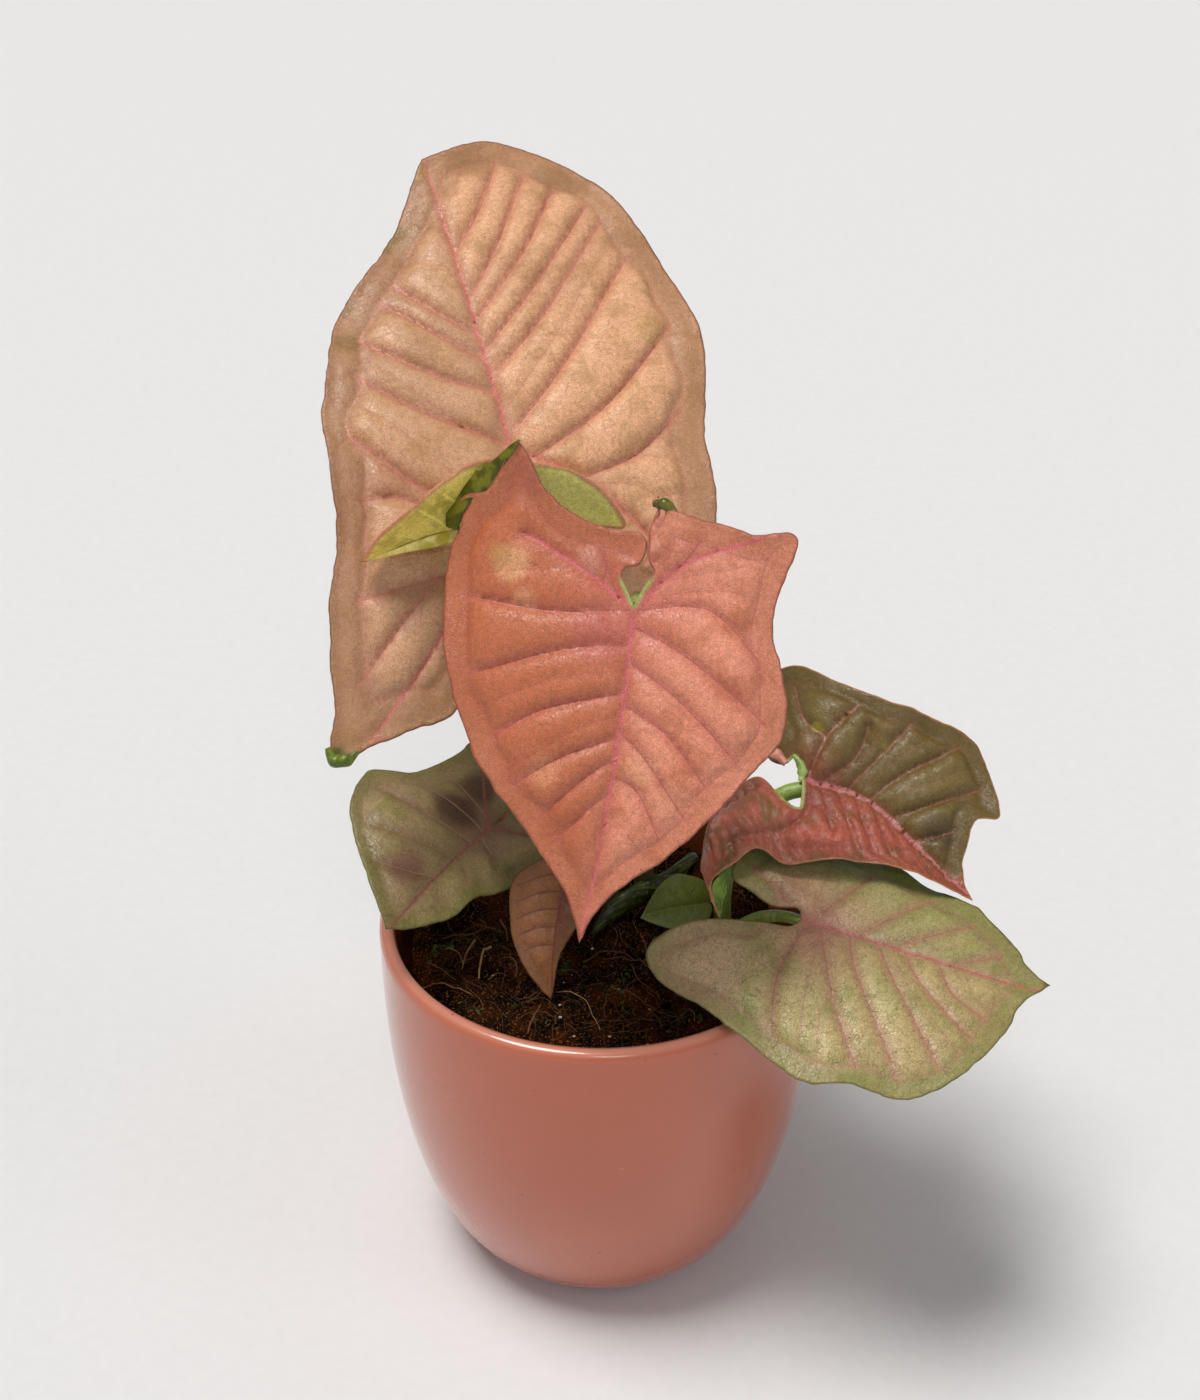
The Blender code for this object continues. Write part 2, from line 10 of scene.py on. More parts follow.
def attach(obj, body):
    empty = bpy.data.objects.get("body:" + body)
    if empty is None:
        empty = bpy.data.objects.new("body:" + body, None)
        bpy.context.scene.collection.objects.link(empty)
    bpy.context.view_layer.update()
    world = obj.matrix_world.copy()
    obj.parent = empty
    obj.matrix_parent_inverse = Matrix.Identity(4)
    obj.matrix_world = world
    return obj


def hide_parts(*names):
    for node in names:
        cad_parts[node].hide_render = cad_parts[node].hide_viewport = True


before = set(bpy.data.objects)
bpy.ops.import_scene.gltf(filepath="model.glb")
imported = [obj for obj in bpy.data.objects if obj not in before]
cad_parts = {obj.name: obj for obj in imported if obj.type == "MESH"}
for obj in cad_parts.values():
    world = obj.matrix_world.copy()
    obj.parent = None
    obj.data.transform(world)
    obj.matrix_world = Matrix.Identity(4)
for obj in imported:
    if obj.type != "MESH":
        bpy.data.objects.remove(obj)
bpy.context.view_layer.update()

mm = 0.001


# Tools: colours, node trees and meshes

def tint(red, green, blue):
    return tuple(((c / 255 + 0.055) / 1.055) ** 2.4 for c in (red, green, blue)) + (1.0,)


def operator(operation, reflected=False):
    def act(self, other):
        first, second = (other, self) if reflected else (self, other)
        return self.tree.node("ShaderNodeMath", {"operation": operation}, {0: first, 1: second})
    return act


class Wire:        # one socket of a tree, which takes Python's own operators
    __add__ = operator("ADD")
    __radd__ = operator("ADD", True)
    __sub__ = operator("SUBTRACT")
    __rsub__ = operator("SUBTRACT", True)
    __mul__ = operator("MULTIPLY")
    __rmul__ = operator("MULTIPLY", True)
    __truediv__ = operator("DIVIDE")
    __rtruediv__ = operator("DIVIDE", True)

    def __init__(self, tree, socket):
        self.tree, self.socket = tree, socket

    def steps(self, low, high, start=0.0, end=1.0):        # a soft step from start to end
        limits = {"Value": self, "From Min": low, "From Max": high, "To Min": start, "To Max": end}
        return self.tree.node("ShaderNodeMapRange", {"interpolation_type": "SMOOTHSTEP"}, limits)


class Tree:        # fills a node tree: every node comes from node()
    def __init__(self, tree):
        self.nodes, self.links = tree.nodes, tree.links

    def node(self, kind, settings=None, sockets=None, output=0):
        made = self.nodes.new(kind)
        for name, value in (settings or {}).items():
            setattr(made, name, value)
        for key, value in (sockets or {}).items():
            slot = self.find(made.inputs, key)
            if isinstance(value, Wire):
                self.links.new(value.socket, slot)
            else:
                slot.default_value = value
        return Wire(self, self.find(made.outputs, output))

    def find(self, sockets, key):
        if isinstance(key, int):
            return sockets[key]
        return next(s for s in sockets if key in (s.identifier, s.name) and s.enabled)

    def blend(self, factor, first, second, how="MIX"):
        return self.node("ShaderNodeMix", {"data_type": "RGBA", "blend_type": how},
                         {"Factor_Float": factor, "A_Color": first, "B_Color": second}, "Result_Color")

    def vector(self, operation, first, second=(0, 0, 0), output=0):
        return self.node("ShaderNodeVectorMath", {"operation": operation}, {0: first, 1: second}, output)

    def noise(self, where, scale, detail=2.0, roughness=0.5, output=0):
        form = {"Vector": where, "Scale": scale, "Detail": detail, "Roughness": roughness}
        return self.node("ShaderNodeTexNoise", {}, form, output)

    def maths(self, operation, first, second=0.5):
        return self.node("ShaderNodeMath", {"operation": operation}, {0: first, 1: second})

    def parts(self, vector):        # its x, y and z
        return [self.node("ShaderNodeSeparateXYZ", {}, {0: vector}, k) for k in range(3)]

    def joined(self, x, y, z):
        return self.node("ShaderNodeCombineXYZ", {}, {0: x, 1: y, 2: z})


class Paint(Tree):        # a material
    def __init__(self, name):
        self.material = bpy.data.materials.new(name)
        self.material.use_nodes = True
        super().__init__(self.material.node_tree)
        self.shader = self.nodes["Principled BSDF"]

    def value(self, name):
        return self.node("ShaderNodeAttribute", {"attribute_name": name}, {}, "Fac")

    def place(self, name=None):        # object coordinates, or a vector attribute
        if name:
            return self.node("ShaderNodeAttribute", {"attribute_name": name}, {}, "Vector")
        return self.node("ShaderNodeTexCoord", {}, {}, "Object")

    def surface(self, **sockets):        # sockets of the shader, with _ for a blank
        for name, value in sockets.items():
            slot = self.shader.inputs[name.replace("_", " ")]
            if isinstance(value, Wire):
                self.links.new(value.socket, slot)
            else:
                slot.default_value = value
        return self.material

    def cells(self, where, scale, feature="F1"):
        form = {"Vector": where, "Scale": scale}
        return self.node("ShaderNodeTexVoronoi", {"feature": feature}, form, "Distance")

    def bump(self, height, depth, strength):
        return self.node("ShaderNodeBump", {}, {"Height": height, "Distance": depth, "Strength": strength})


class Growth(Tree):        # a geometry tree with named inputs, that is grown into a plain mesh
    kinds = {float: "NodeSocketFloat", int: "NodeSocketInt"}

    def __init__(self, name, inputs):
        self.group = bpy.data.node_groups.new(name, "GeometryNodeTree")
        super().__init__(self.group)
        face = self.group.interface
        face.new_socket("Geometry", in_out="INPUT", socket_type="NodeSocketGeometry")
        for key, value in inputs.items():
            face.new_socket(key, in_out="INPUT", socket_type=self.kinds[type(value)]).default_value = value
        face.new_socket("Finish", in_out="INPUT", socket_type="NodeSocketMaterial")
        face.new_socket("Geometry", in_out="OUTPUT", socket_type="NodeSocketGeometry")
        self.start = self.nodes.new("NodeGroupInput")
        self.end = self.nodes.new("NodeGroupOutput")

    def given(self, name):
        return Wire(self, self.start.outputs[name])

    def where(self):
        return self.node("GeometryNodeInputPosition")

    def random(self, kind, low, high, seed):
        limits = {"Min": low, "Max": high, "Seed": seed}
        return self.node("FunctionNodeRandomValue", {"data_type": kind}, limits, "Value")

    def close(self, geometry):        # every tree ends in Realize Instances and Set Material
        real = self.node("GeometryNodeRealizeInstances", {}, {0: geometry})
        done = self.node("GeometryNodeSetMaterial", {}, {"Geometry": real, "Material": self.given("Finish")})
        self.links.new(done.socket, self.end.inputs[0])

    def grow(self, name, source, finish, **values):
        holder = addObject(name + "Start", source)
        modifier = holder.modifiers.new("grow", "NODES")
        modifier.node_group = self.group
        values["Finish"] = finish
        for socket in self.group.interface.items_tree:
            if socket.in_out == "INPUT" and socket.name in values:
                modifier[socket.identifier] = values[socket.name]
        bpy.context.view_layer.update()
        grown = holder.evaluated_get(bpy.context.evaluated_depsgraph_get())
        mesh = bpy.data.meshes.new_from_object(grown)
        bpy.data.objects.remove(holder)
        return addObject(name, mesh)


def addObject(name, data):
    made = bpy.data.objects.new(name, data)
    bpy.context.scene.collection.objects.link(made)
    return made


def meshFrom(name, points, faces, smooth=True):
    mesh = bpy.data.meshes.new(name)
    mesh.from_pydata([tuple(p) for p in points], [], faces)
    mesh.validate()
    if smooth:
        mesh.shade_smooth()
    return mesh


def attribute(mesh, name, values, kind="FLOAT"):
    made = mesh.attributes.new(name, kind, "POINT")
    made.data.foreach_set("value" if kind == "FLOAT" else "vector", values)


def finished(piece, slot, *nodes):        # rides on the one body, and stands for these nodes
    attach(piece, "root")
    if nodes:
        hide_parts(*nodes)
    print("made", piece.name, len(piece.data.polygons), "faces")
    return piece


# Camera, light and floor

view = {"place": (0, -0.4815, 0.4709), "aim": (0, 0, 0.185), "lens": 52.8, "nearest": 0.01}
sun = {"from": (-0.26, -0.06, 1.0), "spread": 26, "power": 2.42, "colour": (1.0, 0.975, 0.94)}
room = {
    "colour": (0.97, 0.98, 1.0, 1),
    "light": 0.245,        # brightness all round
    "backdrop": 0.81,        # brightness that the camera sees past the floor
    "blur": 0.03,        # of the edges of the soft boxes
    "behind": 0.1,        # fades what lies beside or behind a box
}
softBoxes = {        # direction, half width, half height, brightness
    "window": ((-1.0, -0.75, 0.45), 0.36, 0.50, 0.10),
    "front": ((0.10, -1.0, 0.92), 0.11, 0.045, 16.0),
    "side": ((1.0, -0.35, 0.45), 0.16, 0.60, 0.9),
}
paper = {"side": 30.0, "colour": tint(226, 226, 227), "fleck": tint(224, 224, 225), "grain": 220.0,
         "roughness": 0.9, "shine": 0.1}


def turnedTo(thing, place, aim):
    thing.location = place
    thing.rotation_mode = "QUATERNION"
    thing.rotation_quaternion = (Vector(aim) - Vector(place)).to_track_quat("-Z", "Y")


def setCamera(scene):
    scene.view_settings.view_transform = "Standard"
    camera = addObject("camera", bpy.data.cameras.new("camera"))
    turnedTo(camera, view["place"], view["aim"])
    camera.data.lens = view["lens"]
    camera.data.clip_start = view["nearest"]
    scene.camera = camera


def setSun():
    lamp = bpy.data.lights.new("sun", "SUN")
    lamp.energy = sun["power"]
    lamp.color = sun["colour"]
    lamp.angle = math.radians(sun["spread"])
    turnedTo(addObject("sun", lamp), sun["from"], (0, 0, 0))


def boxMask(tree, way, toward, width, height):        # 1 where the room shows a soft box
    ahead = Vector(toward).normalized()
    level = ahead.cross(Vector((0, 0, 1))).normalized()
    axes = (ahead, level, level.cross(ahead))
    depth, across, up = [tree.vector("DOT_PRODUCT", way, tuple(axis), "Value") for axis in axes]
    masks = []
    for off, half in ((across, width), (up, height)):
        inner, outer = half - room["blur"], half + room["blur"]
        masks.append(tree.maths("ABSOLUTE", off / depth).steps(inner, outer, 1.0, 0.0))
    return masks[0] * masks[1] * depth.steps(0.0, room["behind"])


def setRoom(scene):
    scene.world = bpy.data.worlds.new("softRoom")
    scene.world.use_nodes = True
    tree = Tree(scene.world.node_tree)
    way = tree.node("ShaderNodeTexCoord", {}, {}, "Generated")
    light = room["light"]
    for toward, width, height, glow in softBoxes.values():
        light = light + boxMask(tree, way, toward, width, height) * glow
    seen = tree.node("ShaderNodeLightPath", {}, {}, "Is Camera Ray")
    light = light + seen * (room["backdrop"] - light)
    back = tree.nodes["Background"]
    back.inputs["Color"].default_value = room["colour"]
    tree.links.new(light.socket, back.inputs["Strength"])


def layFloor():
    half = paper["side"] / 2
    corners = [(-half, -half, 0), (half, -half, 0), (half, half, 0), (-half, half, 0)]
    floor = addObject("paleFloor", meshFrom("paleFloor", corners, [(0, 1, 2, 3)], False))
    paint = Paint("palePaper")
    grain = paint.noise(paint.place(), paper["grain"], 3.0)
    shade = paint.blend(grain.steps(0.3, 0.7), paper["colour"], paper["fleck"])
    floor.data.materials.append(paint.surface(Base_Color=shade, Roughness=paper["roughness"],
                                              Specular_IOR_Level=paper["shine"]))


def setStage():
    setCamera(bpy.context.scene)
    setSun()
    setRoom(bpy.context.scene)
    layFloor()
    print("stage set")


setStage()


# The pot: a half section turned by Geometry Nodes, with a little unevenness from its making

pot = {
    "height": 0.114, "rim": 0.064, "foot": 0.031, "wall": 0.0046, "floor": 0.0070, "corner": 0.003,
    "fullness": 2.4, "bulge": 2.13, "steps": 60, "lipSteps": 12,
    "sides": 168, "rings": 150, "unevenness": 0.00016,
}
glaze = {
    "colour": tint(190, 98, 68), "deep": tint(168, 84, 58),
    "paleLip": tint(226, 164, 142), "speck": tint(96, 52, 42),
    "pools": 26.0, "poolAmount": 0.30,        # darker places
    # the paler lip: glaze thinner at its edge, and partly a painted highlight along it
    "paleLipHeight": 0.0022, "paleLipAmount": 0.45,        # the paler lip
    "specks": 160.0, "speckPlaces": 60.0, "speckAmount": 0.5,
    "grain": 900.0, "grainDepth": 0.00006, "grainStrength": 0.3,
    "roughness": (0.20, 0.28), "coat": 0.7, "coatRoughness": 0.05, "shine": 0.4,
}


def potRadius(z):
    rise = 1 - (1 - z / pot["height"]) ** pot["fullness"]
    return pot["foot"] + (pot["rim"] - pot["foot"]) * rise ** (1 / pot["bulge"])


def potSection():
    wall, top = pot["wall"], pot["height"]
    bead = wall / 2
    rings = [top * (1 - math.cos(math.pi / 2 * k / pot["steps"])) for k in range(1, pot["steps"] + 1)]
    side = [(potRadius(z), z) for z in rings if z < top - wall]
    inside = [(r - wall, z) for r, z in side if z > pot["floor"] + pot["corner"] / 2]
    inside.insert(0, (potRadius(pot["floor"]) - wall - pot["corner"], pot["floor"]))
    lip = []
    for step in range(pot["lipSteps"] + 1):
        turn = math.pi * (1 - step / pot["lipSteps"])
        lip.append((pot["rim"] - bead + bead * math.cos(turn), top - bead + bead * math.sin(turn)))
    return [(0, pot["floor"])] + inside + lip + side[::-1] + [(pot["foot"], 0), (0, 0)]


def gridSheet(tree, wide, high, columns, rows):
    form = {"Size X": wide, "Size Y": high, "Vertices X": columns, "Vertices Y": rows}
    return tree.node("GeometryNodeMeshGrid", {}, form)


def turningTree():        # turns the section round, and leaves it a little uneven
    tree = Growth("turning", {"Sides": 64, "Rings": 100, "Unevenness": 0.0001})
    section = tree.node("GeometryNodeMeshToCurve", {}, {"Mesh": tree.given("Geometry")})
    sheet = gridSheet(tree, 1.0, 1.0, tree.given("Sides") + 1.0, tree.given("Rings"))
    across, up, _ = tree.parts(tree.where())
    turn = (across + 0.5) * math.tau
    there = tree.node("GeometryNodeSampleCurve", {"mode": "FACTOR", "use_all_curves": False},
                      {"Curves": section, "Factor": up + 0.5}, "Position")
    radius, _, height = tree.parts(there)
    cosine, sine = tree.maths("COSINE", turn), tree.maths("SINE", turn)
    swell = tree.noise(tree.joined(cosine, sine, height * 14.0), 1.3, 1.0)
    level = height.steps(0.004, 0.020) * radius.steps(0.01, 0.03)        # none at the foot and the middle
    radius = radius + (swell - 0.5) * level * tree.given("Unevenness") * 2.0
    spot = tree.joined(radius * cosine, radius * sine, height)
    turned = tree.node("GeometryNodeSetPosition", {}, {"Geometry": sheet, "Position": spot})
    closed = tree.node("GeometryNodeMergeByDistance", {}, {"Geometry": turned, "Distance": 0.00001})
    tree.close(tree.node("GeometryNodeSetShadeSmooth", {}, {"Geometry": closed}))
    return tree


def glazePaint():
    paint = Paint("roseGlaze")
    where = paint.place()
    height = paint.parts(where)[2]
    pools = paint.noise(where, glaze["pools"], 3.0)
    colour = paint.blend(pools.steps(0.35, 0.7, 0.0, glaze["poolAmount"]), glaze["colour"], glaze["deep"])
    # the paler lip: glaze thinner at its edge, and partly a painted highlight along it
    lip = height.steps(pot["height"] - glaze["paleLipHeight"], pot["height"])
    colour = paint.blend(lip * glaze["paleLipAmount"], colour, glaze["paleLip"])
    sparse = paint.noise(where, glaze["speckPlaces"], 1.0).steps(0.56, 0.66)
    specks = (1 - paint.cells(where, glaze["specks"]).steps(0.05, 0.10)) * sparse
    colour = paint.blend(specks * glaze["speckAmount"], colour, glaze["speck"])
    bump = paint.bump(paint.noise(where, glaze["grain"], 2.0), glaze["grainDepth"], glaze["grainStrength"])
    return paint.surface(Base_Color=colour, Normal=bump, Specular_IOR_Level=glaze["shine"],
                         Roughness=paint.noise(where, 40.0, 2.0).steps(0.2, 0.8, *glaze["roughness"]),
                         Coat_Weight=glaze["coat"], Coat_Roughness=glaze["coatRoughness"])


def makePot():
    section = potSection()
    mesh = bpy.data.meshes.new("potSection")
    mesh.from_pydata([(r, 0, z) for r, z in section], [(k, k + 1) for k in range(len(section) - 1)], [])
    made = turningTree().grow("potGlazed", mesh, glazePaint(), Sides=pot["sides"], Rings=pot["rings"],
                              Unevenness=pot["unevenness"])
    finished(made, "glaze", "pot")


makePot()


# The blades. Each is drawn flat, in millimetres, with x across it and y from the stalk to the tip,
# split into small triangles along its veins, raised between them, and then bent into its pose.
# heading is 0 towards +X and 90 towards +Y, pitch is how far the tip points up, roll lifts the right
# half, arch and droop bend the tip and the lobes, fold lifts each half and cup rolls it. A vein is given
# by x and y of its start, middle and end. It stops at the vein that follows the margin, loop inside it.

bladeMesh = {
    "spacing": 0.9, "quickSpacing": 1.62,        # between the points of its mesh
    "thickness": 0.50, "thinRim": 0.6, "ribDepth": 0.45, "ribWidth": 0.8,
    "waved": 0.35, "ragged": 0.55,        # share of the half blade that is waved, and the uneven margin
}
relief = {
    "turns": 260, "most": 0.55,        # of the inflation, and the highest share of puff
    "pinned": 1e3, "fineHold": 0.10, "loopHold": 1.2, "edgeHold": 0.4,        # how hard lines hold the skin
    "lineReach": 0.7, "edgeReach": 1.2,
    "outsideLoop": 0.45, "uneven": 0.6, "unevenSize": 15.0,        # how the puff changes over the blade
    "rough": ((8.0, 3.1, 0.22), (3.0, 1.9, 0.09)),        # size, seed and height of small bumps
    "rim": 3.0,        # fades out here
}
leaves = {
    "leafBack": {
        "node": "leaf_back", "slot": "leaf_tan", "at": (-23.9, 34.0, 244.9),
        "heading": 111, "pitch": 42, "roll": 0,
        "tip": 102, "lobe": 80, "half": 55, "arch": 14, "droop": -24, "sweep": 2,
        "fold": ((4, 6, -14), (4, 6, 2)), "cup": ((-8, -10, -10), (-8, -10, -10)),
        "left": [(-4, -10), (-11, -28), (-21, -52), (-31, -68), (-44, -71), (-58, -74), (-66, -75.5),
            (-63, -61), (-59.5, -37), (-53.5, -18), (-51, 0), (-49.5, 16), (-44, 32), (-37, 50), (-26, 62),
            (-15, 75), (-8, 87)],
        "right": [(4, -12), (10, -28), (19, -44), (30, -51), (41, -49), (49, -40), (53, -24), (55.5, -6),
            (61, 11), (64, 27), (63, 43), (58, 61), (51, 81), (38, 96), (21, 102.7), (7, 100.5)],
        "end": (-1, 99), "waves": (1.2, 9, 0.4),
        "ribs": [(0, -1, -13, -17, -24, -36), (-24, -36, -33, -50, -56, -73), (0, -1, 17, -12, 36, -37)],
        "veins": [(0, 63, 12, 79, 21, 95), (0, 47, 12, 63, 28, 89), (0, 40, 20, 61, 36, 84),
            (0, 30, 21, 50, 43, 75), (0, 22, 20, 39, 47, 70), (0, 3, 23, 24, 50, 55),
            (5, -4, 30, 8, 57, 31), (17, -12, 34, -8, 52, 4), (0, 36, -8, 43, -22, 60),
            (0, 27, -10, 36, -26, 53), (0, 17, -17, 26, -36, 43), (0, 1, -22, 14, -42, 33),
            (-13, -17, -30, -6, -46, 14), (-17, -22, -34, -10, -50, -9), (-22, -32, -40, -34, -57, -36),
            (-30, -34, -43, -45, -56, -58)],
        "fine": [(0, 76, 6, 86, 12, 97), (0, 55, -6, 60, -16, 68), (0, 70, -4, 75, -9, 80),
            (33, -8, 42, -11, 52, -13), (19, -14, 32, -18, 46, -31), (34, -22, 43, -21, 52, -22),
            (-16, -9, -28, 6, -38, 18), (0, 10, 22, 32, 44, 58), (-10, 5, -24, 22, -36, 38)],
        "loop": 8.5, "open": 34, "puff": 6.6, "panel": 4.4,
        "look": {"right": (234, 178, 136), "left": (213, 164, 126), "patch": (192, 143, 92),
            "halo": (241, 162, 135), "vein": (207, 118, 105), "rib": (213, 120, 108),
            "margin": (176, 133, 89), "rim": (131, 67, 50), "net": (186, 118, 94), "under": (160, 149, 98)},
        "spots": [(-36, 55, 6, (156, 125, 71), 0.8), (-37, 40, 5, (159, 125, 73), 0.8),
            (-14, 75, 5, (154, 129, 71), 0.8), (-18, 71, 3, (142, 140, 56), 0.8),
            (13, 96, 9, (173, 131, 84), 0.7), (38, 87, 9, (171, 131, 81), 0.7),
            (20, 54, 7, (178, 129, 84), 0.5), (-18, 33, 7, (175, 129, 86), 0.5),
            (48, 28, 6, (207, 167, 103), 0.6), (-3, 95, 4, (201, 169, 96), 0.6),
            (-65, -75, 4.5, (89, 110, 22), 1.0), (-36, -6, 9, (201, 142, 113), 0.5)],
    },
    "leafFront": {
        "node": "leaf_front", "slot": "leaf_salmon", "at": (8.5, -26.6, 228.3),
        "heading": 262, "pitch": -52, "roll": 0,
        "tip": 87, "lobe": 44, "half": 44, "arch": 18, "droop": 14, "sweep": 8,
        "fold": ((14, 10, 8), (14, 10, 8)), "cup": (-30, -30),
        "left": [(-2.3, -4.5), (-4.6, -8.6), (-3.4, -11), (-3, -15), (-3.3, -20), (-5.2, -23.6),
            (-3.6, -26.4), (-8, -24.6), (-18, -22.3), (-28.7, -20), (-39.6, -20), (-36.6, -6), (-35.6, 4),
            (-39.6, 17), (-40.6, 31), (-32.7, 42.6), (-20, 59.4), (-8, 70.3), (-2, 78.2)],
        "right": [(1.8, -3.5), (3.6, -7), (2.6, -9.5), (-0.4, -10.2), (-2.2, -13), (-2.3, -16.4),
            (0, -18.4), (5, -18.8), (10, -19.5), (18, -22.8), (25, -28.7), (32.4, -39.5), (36.7, -32),
            (40.2, -27.1), (46.6, -25.6), (48.9, -21.5), (47, -18.5), (49.8, -14.1), (51.5, -5), (50.5, 4),
            (46.5, 22), (36.6, 40.6), (20, 58.4), (8, 71.3), (3, 79.2)],
        "end": (0, 86.6), "notch": (0, 0.2), "bulges": [(-10, -17, 7, 2.5)],
        "folds": [(42, -25, -31, -6, 2.5)], "waves": (0.8, 8, 1.0),
        "ribs": [(0.5, 0.6, 13, -8, 30, -17), (-0.5, 0.6, -12, -11, -31, -19)],
        "veins": [(4, -2, 13, -19, 28, -34), (0, 1, 22, 2.5, 46, -1), (0, 10, 16, 12, 42, 20),
            (0, 22, 21, 28, 36, 38), (0, 33, 15, 40, 29, 50), (0, 39, 6, 43, 20, 58),
            (0, 47, 5, 52, 14, 64), (0, 1, -19, 0, -34, 13), (0, 5, -16, 13, -37, 28),
            (0, 14, -15, 24, -33, 40), (0, 25, -12, 32, -26, 47), (0, 32, -7, 38, -20, 53),
            (0, 43, -7, 47, -15, 60), (-10, -9, -15, -16, -19, -24)],
        "fine": [(0, 29, 9, 31, 28, 44), (13, -8, 22, -8, 42, -6), (0, 55, 3, 61, 9, 70),
            (-19, -15, -27, -14, -37, -11), (-7, -3, -22, -5, -36, -3), (-6, -6, -13, -8, -26, -11),
            (0, 16, 18, 20, 38, 28), (0, 52, -6, 57, -12, 64)],
        "loop": 5.6, "open": 17, "puff": 5.6, "panel": 4.2,
        "look": {"right": (198, 112, 75), "left": (234, 151, 122), "patch": (192, 106, 66),
            "halo": (220, 124, 107), "vein": (180, 88, 86), "rib": (215, 109, 111),
            "margin": (211, 129, 94), "rim": (149, 73, 57), "net": (168, 84, 64), "netAmount": 0.4,
            "sink": 0.55, "loopAmount": 0.6, "under": (96, 100, 18), "zone": 9, "collar": 8.5,
            "veinAmount": 0.55, "heart": 0.55, "heartReach": 26.0},
        # the pale pink spots are painted satin highlights
        "spots": [(31, -8, 7, (232, 173, 128), 0.75), (35, -11, 4, (194, 141, 82), 0.7),
            (28, 0, 5, (229, 166, 125), 0.55), (18, 43, 6, (223, 154, 115), 0.6),
            (-7, 41, 6, (238, 168, 132), 0.6), (-15, 49, 6, (234, 164, 128), 0.5),
            (11, 55, 8, (188, 101, 61), 0.6), (31, -30, 8, (184, 103, 78), 0.6),
            (8, 9, 9, (200, 106, 94), 0.6), (12, -10, 5, (226, 156, 136), 0.6),
            (0, 86, 3.5, (142, 154, 53), 1.0), (-4.5, -25, 3.2, (61, 78, 19), 1.0)],
    },
    "leafYoung": {
        "node": "leaf_young", "slot": "leaf_yellow_green", "at": (-13.9, 13.0, 231.8),
        "heading": 199, "pitch": 9, "roll": 0,
        "tip": 50, "lobe": 30, "half": 18, "arch": 24, "droop": -20, "sweep": 0,
        "fold": ((60, 62, 45), (55, 60, 45)), "cup": (25, 100),
        "left": [(-0.8, -7), (-1, -15), (-3, -21), (-10.6, -14), (-17.6, -4), (-20.8, 7), (-23.3, 15),
            (-24.2, 22), (-20.5, 31), (-17.5, 36), (-15.5, 40), (-11, 46.5), (-5.5, 49.3)],
        "right": [(1, -7), (2, -14), (6, -16), (10.7, -12.7), (14.5, -4), (15, 4), (15, 12), (13.3, 21),
            (9.8, 30.5), (6, 40), (1.5, 47.5)],
        "end": (-1, 51.4), "waves": (0.3, 5, 0),
        "ribs": [(0, -1, -2, -8, -5, -15), (0, -1, 3, -6, 7, -12)],
        
        "veins": [(0, y, -8, y + 4, -18, y + 11) for y in (2, 10, 18, 26)]
            + [(0, y, 5, y + 4, 12, y + 10) for y in (2, 10, 18, 26)],
        "fine": [(0, 34, -5, 38, -10, 43), (0, 34, 3, 37, 6, 41)],
        "loop": 2.4, "open": 9, "puff": 1.0, "panel": 3.0,
        "look": {"right": (206, 128, 92), "left": (206, 128, 92), "patch": (190, 140, 80),
            "halo": (210, 130, 100), "vein": (196, 110, 90), "rib": (190, 130, 90),
            "margin": (214, 130, 96), "rim": (216, 140, 100), "net": (150, 140, 50),
            # underPatch: dark olive patches on the underside, painted shade scattered by noise
            "under": (246, 224, 112), "underPatch": (146, 132, 24), "lobeUnder": (255, 244, 140),
            "hem": (222, 150, 112), "gloss": 0.15, "netAmount": 0.12},
    },
    "leafRightUpper": {
        "node": "leaf_right_upper", "slot": "leaf_rose_olive", "at": (59.5, 12.0, 150.9),
        "heading": -35, "pitch": -15, "roll": -10,
        "tip": 58, "lobe": 36, "half": 36, "arch": 15, "droop": -80, "sweep": 0,
        "fold": ((35, 40, 21), (-10, 0, 20)), "cup": (-20, -20),
        "left": [(-1.5, -4.5), (-4.7, -6.8), (-1.4, -9), (-1.8, -14), (-6, -17), (-9.5, -14), (-20, -22),
            (-30, -24), (-33, -16), (-30.5, -7), (-32, 2), (-37, 16), (-40, 29), (-34, 40), (-26, 48),
            (-20, 44), (-12, 47), (-6, 50)],
        "right": [(4, 0.5), (9.5, 3), (8.6, -5), (6, -13.5), (12, -20), (20, -28), (30, -26), (41, -12),
            (50, 5), (43, -4), (36, -1), (28, 2), (26, 11), (19, 20), (11, 32), (5, 46)],
        "end": (-1, 57), "waves": (0.8, 7, 0),
        "ribs": [],
        "veins": [(-1, -1, -14, -2, -29, 0), (1, 0, 11, 6, 22, 3), (-14, -3, -16, -9, -26, -15),
            (0, 3, -11, 7, -24, 5), (0, 10, -14, 12, -34, 14), (0, 17, -14, 20, -37, 28),
            (0, 25, -12, 31, -31, 40), (0, 34, -8, 39, -18, 44), (0, 3, 7, 9, 13, 15),
            (0, 8, 7, 15, 13, 22), (0, 13, 6, 20, 10, 27), (0, 18, 4, 25, 8, 32), (0, 24, 3, 30, 6, 37),
            (0, 30, 2, 37, 4, 43), (20, 3, 30, -8, 40, -8), (10, 5, 18, -8, 24, -20)],
        "fine": [(0, 6, -12, 9, -30, 8), (0, 14, -14, 16, -36, 21), (0, 21, -13, 26, -35, 35),
            (-20, -3, -24, 0, -29, 3)],
        "loop": 4.5, "open": 17, "puff": 6.4, "panel": 3.2, "rough": 3.0,
        "crimp": (1, 0.40, 6.2, 1.5),
        "look": {"right": (192, 98, 80), "left": (116, 96, 44), "patch": (100, 86, 30),
            "halo": (150, 80, 66), "vein": (176, 98, 80), "rib": (190, 112, 110), "margin": (126, 106, 50),
            "rim": (196, 130, 90), "net": (99, 63, 41), "under": (100, 136, 44), "zone": 3,
            "loopAmount": 0.12, "marginAmount": 0.2, "haloAmount": 0.12, "veinAmount": 0.5, "heart": 0.7,
            "heartReach": 17.0, "collar": 9.5},
